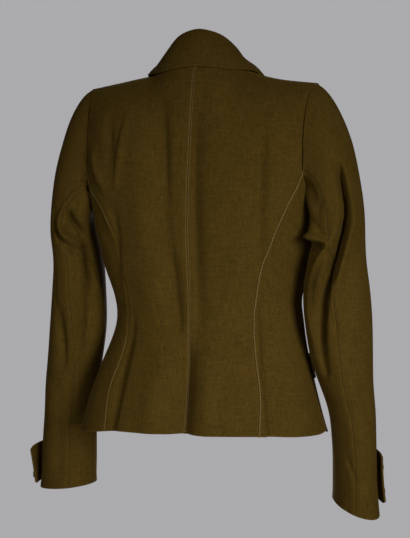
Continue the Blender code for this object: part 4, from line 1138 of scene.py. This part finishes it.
def stitch_tree(thread):
    tree = bpy.data.node_groups.new("stitches_along_a_path", "GeometryNodeTree")
    face = tree.interface
    face.new_socket("Path", in_out="INPUT", socket_type="NodeSocketGeometry")
    for name, value in STITCH:
        s = face.new_socket(name, in_out="INPUT", socket_type="NodeSocketFloat")
        s.default_value = value
    face.new_socket("Stitches", in_out="OUTPUT", socket_type="NodeSocketGeometry")
    start = node(tree, "NodeGroupInput").outputs
    long, thick = start["Stitch length"], start["Thickness"]
    curve = node(tree, "GeometryNodeMeshToCurve", {"Mesh": start["Path"]})
    pitch = node(tree, "ShaderNodeMath", {0: long, 1: start["Gap"]}, operation="ADD")
    again = node(tree, "GeometryNodeResampleCurve", {"Curve": curve, "Length": pitch},
                 mode="LENGTH")
    spindle = node(tree, "GeometryNodeMeshUVSphere", {"Segments": 6, "Rings": 5, "Radius": 0.5})
    size = node(tree, "ShaderNodeCombineXYZ", {"X": long, "Y": thick, "Z": thick})
    aim = node(tree, "FunctionNodeAlignRotationToVector",
               {"Vector": node(tree, "GeometryNodeInputTangent")}, axis="X")
    lay = node(tree, "GeometryNodeInstanceOnPoints",
               {"Points": again, "Instance": spindle, "Rotation": aim, "Scale": size})
    real = node(tree, "GeometryNodeRealizeInstances", {"Geometry": lay})
    soft = node(tree, "GeometryNodeSetShadeSmooth", {"Geometry": real})
    paint = node(tree, "GeometryNodeSetMaterial", {"Geometry": soft, "Material": thread})
    node(tree, "NodeGroupOutput", {"Stitches": paint})
    return tree


def baked(obj):
    """The mesh that an object's modifiers give. The object itself goes."""
    view = bpy.context.evaluated_depsgraph_get()
    mesh = bpy.data.meshes.new_from_object(obj.evaluated_get(view), depsgraph=view)
    bpy.data.objects.remove(obj, do_unlink=True)
    return mesh


def stitched(name, paths, tree, thickness):
    """One plain mesh of stitches along the paths."""
    verts, edges = [], []
    for p in paths:
        edges += [(len(verts) + i, len(verts) + i + 1) for i in range(len(p) - 1)]
        verts += p.tolist()
    guide = placed(name + "_path", new_mesh(name + "_path", verts, [], edges))
    mod = guide.modifiers.new("stitches", "NODES")
    mod.node_group = tree
    mod[tree.interface.items_tree["Thickness"].identifier] = thickness
    mesh = baked(guide)
    mesh.name = name
    return placed(name, mesh)


print("a stitch every %.1f mm" % (1000 * (STITCH[0][1] + STITCH[1][1])))

# %% [markdown]
# ## The finishes
# The wool is an olive brown with a very fine plain weave: yarns a little lighter and darker
# than each other, a faint slub along the warp, and a short nap that catches light at the edges
# of the form. The yarns follow the flat cloth's own map, so the weave turns with each piece.
# Pressed edges are painted paler: partly wear, partly a painted highlight for the shine they
# catch.

# %% Steps that the finishes share
WOOL = (0.080, 0.0468, 0.0064)


def new_finish(name, colour, rough, more=None):
    m = bpy.data.materials.new(name)
    m.use_nodes = True
    m.diffuse_color = (*colour, 1)
    shader = m.node_tree.nodes["Principled BSDF"]
    for key, value in {"Base Color": (*colour, 1), "Roughness": rough, **(more or {})}.items():
        shader.inputs[key].default_value = value
    return m, m.node_tree, shader


def spot(tree):
    """Every place of the object, in metres."""
    return node(tree, "ShaderNodeTexCoord").outputs["Object"]


def scaled(tree, source, scale):
    return node(tree, "ShaderNodeMapping", {"Vector": source, "Scale": scale})


def speckle(tree, vector, scale, detail=2.0):
    return node(tree, "ShaderNodeTexNoise", {"Vector": vector, "Scale": scale, "Detail": detail})


def bumped(tree, shader, height, strength, distance):
    bump = node(tree, "ShaderNodeBump",
                {"Height": height, "Strength": strength, "Distance": distance})
    tree.links.new(bump.outputs["Normal"], shader.inputs["Normal"])


def sum_of(tree, terms, base):
    """base + each (value - 0.5) * weight."""
    total = base - 0.5 * sum(w for _, w in terms)
    for value, weight in terms:
        total = node(tree, "ShaderNodeMath", {0: value, 1: weight, 2: total},
                     operation="MULTIPLY_ADD")
    return total


# %% Wool
# Edges painted paler: partly wear, partly a painted highlight standing in for a pressed edge's
# shine.
PALE_WEAR_AND_SHEEN, PALE_WEAR_AND_SHEEN_WIDE = 0.25, 0.0022     # how much paler a pressed edge is, and how far in
YARN_NOISE = {           # scale across and along the flat cloth, detail, weight in the tone
    "slub": ((900, 55, 1), 2.0, 0.55), "weft": ((60, 700, 1), 2.0, 0.50),
    "warp run": ((300, 36, 1), 2.0, 0.36), "weft run": ((40, 260, 1), 2.0, 0.36),
    "mottle": ((190, 170, 1), 4.0, 0.40)}


def wool_finish():
    m, tree, shader = new_finish("olive_wool", WOOL, 0.88, {
        "Specular IOR Level": 0.05, "Sheen Weight": 0.14, "Sheen Roughness": 0.45,
        "Sheen Tint": (0.60, 0.38, 0.08, 1)})
    flat = node(tree, "ShaderNodeUVMap", uv_map="flat_cloth")
    yarns = [node(tree, "ShaderNodeTexWave",
                  {"Vector": scaled(tree, flat, (1000, 1000, 1000)), "Scale": 0.45,
                   "Distortion": 0.6, "Detail": 1.0}, bands_direction=way).outputs["Fac"]
             for way in ("X", "Y")]
    runs_of = {name: speckle(tree, scaled(tree, flat, scale), 1.0, detail)
               for name, (scale, detail, _) in YARN_NOISE.items()}
    nap, cloud = speckle(tree, spot(tree), 420.0, 3.0), speckle(tree, spot(tree), 24.0, 3.0)
    # Painted highlight mixed with wear: the tone is raised within a couple of millimetres of every
    # edge.
    edge = node(tree, "ShaderNodeAttribute", attribute_name="edge_run")
    wear_and_sheen = node(tree, "ShaderNodeMapRange",
               {"Value": edge.outputs["Fac"], "From Min": 0.0, "From Max": PALE_WEAR_AND_SHEEN_WIDE,
                "To Min": 1.0, "To Max": 0.0})
    tone = sum_of(tree, [(runs_of[name], row[2]) for name, row in YARN_NOISE.items()]
                  + [(nap, 0.75), (cloud, 0.22), (yarns[0], 0.10), (yarns[1], 0.10),
                     (wear_and_sheen, PALE_WEAR_AND_SHEEN)], 1.0 + PALE_WEAR_AND_SHEEN / 2)
    shade = node(tree, "ShaderNodeMix", {"Factor": 1.0, 6: (*WOOL, 1), 7: tone},
                 data_type="RGBA", blend_type="MULTIPLY")
    tree.links.new(shade.outputs[2], shader.inputs["Base Color"])
    high = sum_of(tree, [(yarns[0], 0.5), (yarns[1], 0.5), (nap, 0.9), (runs_of["slub"], 0.5)],
                  0.5)
    bumped(tree, shader, high, 0.55, 0.00022)
    return m


print("noises along the yarns:", len(YARN_NOISE))


# %% Thread and horn
def thread_finish(name, colour):
    m, tree, shader = new_finish(name, colour, 0.7)
    bumped(tree, shader, speckle(tree, spot(tree), 900.0), 0.4, 0.0001)
    return m


def horn_finish():
    m, tree, shader = new_finish("dark_horn", (0.045, 0.03, 0.018), 0.32,
                                 {"Coat Weight": 0.4, "Coat Roughness": 0.2})
    swirl = speckle(tree, scaled(tree, spot(tree), (1, 1, 2.6)), 130.0, 4.0)
    ramp = node(tree, "ShaderNodeValToRGB", {"Fac": swirl})
    for stop, place, colour in zip(ramp.color_ramp.elements, (0.35, 0.70),
                                   ((0.016, 0.010, 0.006, 1), (0.115, 0.072, 0.038, 1))):
        stop.position, stop.color = place, colour
    tree.links.new(ramp.outputs["Color"], shader.inputs["Base Color"])
    return m


wool, horn = wool_finish(), horn_finish()
thread = thread_finish("tan_thread", (0.27, 0.182, 0.062))
olive_thread = thread_finish("olive_thread", (0.100, 0.064, 0.014))
for obj in cut.values():
    obj.data.materials.append(wool)
print("finishes:", wool.name, thread.name, horn.name)

# %% [markdown]
# ## Stitch the seams
# Pale thread shows on the curved back seams, the centre back, the lapels and the front edges.
# Olive thread, close to the cloth's own colour, runs down the back seams of the sleeves, in two
# rows round the fall of the collar, and round the tabs and buttonholes.

# %% Lines of stitches
PALE, OLIVE = stitch_tree(thread), stitch_tree(olive_thread)
KINDS = {                # the thread of each kind of line, and its thickness
    "seam_stitches": (PALE, 0.0019), "fine_stitches": (PALE, 0.0008),
    "sleeve_stitches": (OLIVE, 0.0005), "collar_stitches": (OLIVE, 0.0007),
    "front_stitches": (PALE, 0.0007), "tab_stitches": (OLIVE, 0.0006),
    "hole_stitches": (OLIVE, 0.0010)}
IN_SEAM, IN_FRONT, IN_TAB, IN_COLLAR = 0.0014, 0.006, 0.0035, (0.0072, 0.0116)   # from the edge
lines = {kind: [] for kind in KINDS}
for tag, kind, shown in (("l", "fine_stitches", ((0.0, 0.37), (0.79, 1.0))),
                         ("r", "seam_stitches", ((0.0, 1.0),))):
    lines[kind] += [beside("side_back_" + tag, "l", IN_SEAM, *part) for part in shown]
    lines["fine_stitches"].append(beside("back_" + tag, "l", IN_SEAM))
    lines["sleeve_stitches"].append(beside("sleeve_upper_" + tag, "r", IN_SEAM, 0.02))
    lines["front_stitches"] += [beside("lapel_" + tag, "l", IN_FRONT, 0.04),
                                beside("front_" + tag, "r", IN_FRONT, 0.01, 0.52)]
    lines["tab_stitches"] += [beside(name + tag, e, IN_TAB, 0.08, 0.92)
                              for name in ("cuff_tab_", "hip_tab_") for e in "lrbt"]
HOLE_HALF, HOLE_NEAR, HOLE_FAR, HOLE_END = 0.022, 0.30, 0.80, 0.035    # rows and columns
HOLE_UP = 0.0004
turn, run = np.linspace(0, math.pi, 9), np.linspace(HOLE_NEAR, HOLE_FAR, 24)
across = np.concatenate([run, HOLE_FAR + HOLE_END * np.sin(turn), run[::-1]])
along = np.concatenate([0 * run + HOLE_HALF, HOLE_HALF * np.cos(turn), 0 * run - HOLE_HALF])
lines["hole_stitches"] = [       # the part of each buttonhole that its button leaves bare
    on_net("front", "r", row + along, BUTTON_COL - across, np.full(along.shape, HOLE_UP))[0]
    for row in FRONT_ROWS]
lines["collar_stitches"] = [beside("collar", "t", away) for away in IN_COLLAR]
stitches = {kind: stitched(kind, lines[kind], *how) for kind, how in KINDS.items()}
for kind, obj in stitches.items():
    print(kind, len(obj.data.polygons), "faces")

# %% [markdown]
# ## Buttons
# Four-hole horn buttons with a raised rim, sewn through with pale thread. One is turned like a
# bowl on a lathe and drilled; the others are copies at their own size and place.


# %% One button
PROFILE = [(0.80, 0.0), (0.95, 0.05), (1.0, 0.14), (0.985, 0.235), (0.93, 0.29), (0.86, 0.295),
           (0.78, 0.265), (0.68, 0.235), (0.40, 0.222)]      # radius and height, to the middle
MIDDLE = 0.215           # height of the middle
HOLE, HOLE_RADIUS = 0.2, 0.095
BUTTON_SIDES, HOLE_SIDES, THREAD_SIDES = 40, 12, 8


def round_ring(radius, z, count, x=0.0, y=0.0):
    return [(x + radius * math.cos(2 * math.pi * k / count),
             y + radius * math.sin(2 * math.pi * k / count), z) for k in range(count)]


def tube_faces(first, rings, count):
    """Faces between rings of vertices that follow one another from number first."""
    return [(a + k, a + (k + 1) % count, a + count + (k + 1) % count, a + count + k)
            for a in range(first, first + (rings - 1) * count, count) for k in range(count)]


def turned_button():
    """A button of radius 1 along +Z, drilled; the holes are cut before it is copied."""
    seg = BUTTON_SIDES
    verts = [v for r, z in PROFILE for v in round_ring(r, z, seg)]
    low, mid, top = len(verts), len(verts) + 1, len(verts) - seg
    faces = tube_faces(0, len(PROFILE), seg)
    for k in range(seg):
        faces += [(low, (k + 1) % seg, k), (top + k, top + (k + 1) % seg, mid)]
    blank = placed("turned", new_mesh("turned", verts + [(0, 0, 0.0), (0, 0, MIDDLE)], faces))
    verts, faces = [], []
    for x, y in ((HOLE, HOLE), (-HOLE, HOLE), (-HOLE, -HOLE), (HOLE, -HOLE)):
        o = len(verts)
        for z in (-0.1, 0.5):
            verts += round_ring(HOLE_RADIUS, z, HOLE_SIDES, x, y)
        faces += tube_faces(o, 2, HOLE_SIDES)
        faces += [tuple(range(o + HOLE_SIDES - 1, o - 1, -1)),
                  tuple(range(o + HOLE_SIDES, o + 2 * HOLE_SIDES))]
    drills = placed("drills", new_mesh("drills", verts, faces))
    mod = blank.modifiers.new("drill", "BOOLEAN")
    mod.object, mod.solver = drills, "EXACT"
    mesh = baked(blank)
    bpy.data.objects.remove(drills, do_unlink=True)
    return mesh


def spindle(a, b, thick, first):
    """A little bar of thread from a to b, as vertices and faces numbered from first."""
    a, b = np.array(a), np.array(b)
    d = unit(b - a)
    p = unit(np.cross(d, (0.3, 0.5, 0.81)))
    q = np.cross(d, p)
    shape = ((0.0, 0.35), (0.08, 0.8), (0.25, 1.0), (0.75, 1.0), (0.92, 0.8), (1.0, 0.35))
    seg, last = THREAD_SIDES, first + (len(shape) - 1) * THREAD_SIDES
    verts = [a + (b - a) * t + (p * math.cos(w) + q * math.sin(w)) * thick / 2 * r
             for t, r in shape for w in np.arange(seg) * 2 * math.pi / seg]
    ends = [tuple(range(first + seg - 1, first - 1, -1)), tuple(range(last, last + seg))]
    return verts, tube_faces(first, len(shape), seg) + ends


button_mesh = turned_button()
print("one button:", len(button_mesh.polygons), "faces")

# %% Sew the buttons on
BUTTON_TURN = {"1": 8, "2": -14, "3": 21, "l": 5, "r": -9}   # degrees, by the name's last letter
REACH = HOLE * 1.15      # the thread goes a little past the middle of a hole
for name, (place, way, radius) in seats.items():
    x = unit(np.cross((0, 0, 1.0), way))
    y = np.cross(way, x)
    turn = math.radians(BUTTON_TURN[name[-1]])
    x, y = x * math.cos(turn) + y * math.sin(turn), -x * math.sin(turn) + y * math.cos(turn)
    verts = [np.array(v.co) for v in button_mesh.vertices]
    faces = [tuple(p.vertices) for p in button_mesh.polygons]
    horn_count = len(faces)
    for rise in (REACH, -REACH):
        v, f = spindle((-REACH, -rise, 0.225), (REACH, rise, 0.235), 0.10, len(verts))
        verts, faces = verts + v, faces + f
    world = (np.array(verts) * radius) @ np.stack([x, y, way]) + place
    mesh = new_mesh("horn_" + name, world.tolist(), faces)
    mesh.materials.append(horn)
    mesh.materials.append(thread)
    mesh.polygons.foreach_set("material_index",
                              [0] * horn_count + [1] * (len(faces) - horn_count))
    mesh.shade_smooth()
    mesh.set_sharp_from_angle(angle=math.radians(40))
    obj = placed("horn_" + name, mesh)
    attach(obj, "root")
    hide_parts(name)
print("buttons sewn on:", len(seats))

# %% [markdown]
# ## Hand the pieces to the frame
# Each piece of cloth takes the place of its imported node, which is hidden, and the stitches join
# them.

for name, obj in cut.items():
    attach(obj, "root")
    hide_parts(name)
for obj in stitches.values():
    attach(obj, "root")

# %% [markdown]
# ## Floor and light
# A pale floor that fades into the pale surroundings, a soft lamp on each side of the camera of
# which the right one is the stronger, a broad fill for the front, and the dim light of the room.

# %% Floor, light and surroundings
scene = bpy.context.scene
scene.view_settings.view_transform = "Standard"
surround = bpy.data.worlds.new("white_room")
surround.use_nodes = True
tree = surround.node_tree
seen = tree.nodes["Background"]          # the pale wall behind the jacket
seen.inputs["Color"].default_value = (0.41, 0.405, 0.42, 1)
way = node(tree, "ShaderNodeVectorMath",
           {0: node(tree, "ShaderNodeTexCoord").outputs["Generated"], 1: BEHIND},
           operation="DOT_PRODUCT")
dim = node(tree, "ShaderNodeMapRange",
           {"Value": way.outputs["Value"], "From Min": -0.75, "From Max": 0.25,
            "To Min": 0.05, "To Max": 0.035}, interpolation_type="SMOOTHSTEP")
lit = node(tree, "ShaderNodeBackground",  # the dimmer light that the room gives back
           {"Strength": dim, "Color": (1.0, 0.90, 0.70, 1)})
choose = node(tree, "ShaderNodeMixShader",
              {"Fac": node(tree, "ShaderNodeLightPath").outputs["Is Camera Ray"],
               1: lit, 2: seen})
tree.links.new(choose.outputs["Shader"], tree.nodes["World Output"].inputs["Surface"])
scene.world = surround

FLOOR_Z, FLOOR_RADIUS = -1.45, 2.0
pale, tree, shader = new_finish("pale_floor", (0.80, 0.80, 0.80), 0.9)
reach = node(tree, "ShaderNodeVectorMath", {0: spot(tree)}, operation="LENGTH")
fade = node(tree, "ShaderNodeMapRange",
            {"Value": reach.outputs["Value"], "From Min": 0.6, "From Max": 1.9,
             "To Min": 1.0, "To Max": 0.0}, interpolation_type="SMOOTHSTEP")
tree.links.new(fade.outputs["Result"], shader.inputs["Alpha"])
floor = placed("floor", new_mesh("floor", round_ring(FLOOR_RADIUS, 0.0, 64),
                                 [tuple(range(64))]))
floor.location = (0, 0, FLOOR_Z)
floor.data.materials.append(pale)


COOL = (1.0, 1.01, 1.10)     # the lamps are a little cooler than the room


def soft_light(name, place, aim, size, power, spread=180.0):
    lamp = bpy.data.lights.new(name, "AREA")
    lamp.shape, lamp.size, lamp.size_y = "RECTANGLE", size[0], size[1]
    lamp.energy, lamp.spread, lamp.color = power, math.radians(spread), COOL
    obj = placed(name, lamp)
    way = np.array(place) - np.array(aim)
    yaw = math.atan2(way[1], way[0]) + math.pi / 2
    obj.rotation_euler = (math.acos(way[2] / np.linalg.norm(way)), 0, yaw)
    obj.location = place


soft_light("left_light", (0.19, 2.19, -0.10), (-0.03, 0, -0.44), (0.8, 0.9), 0.80, 38)
soft_light("right_light", (-1.50, 1.62, -0.15), (-0.06, 0, -0.44), (0.8, 0.9), 2.05, 38)
soft_light("front_fill", (0.72, -2.35, 0.10), (0, 0, -0.30), (1.4, 1.4), 62.0)
print("light and floor placed")

# %% Finish
import json
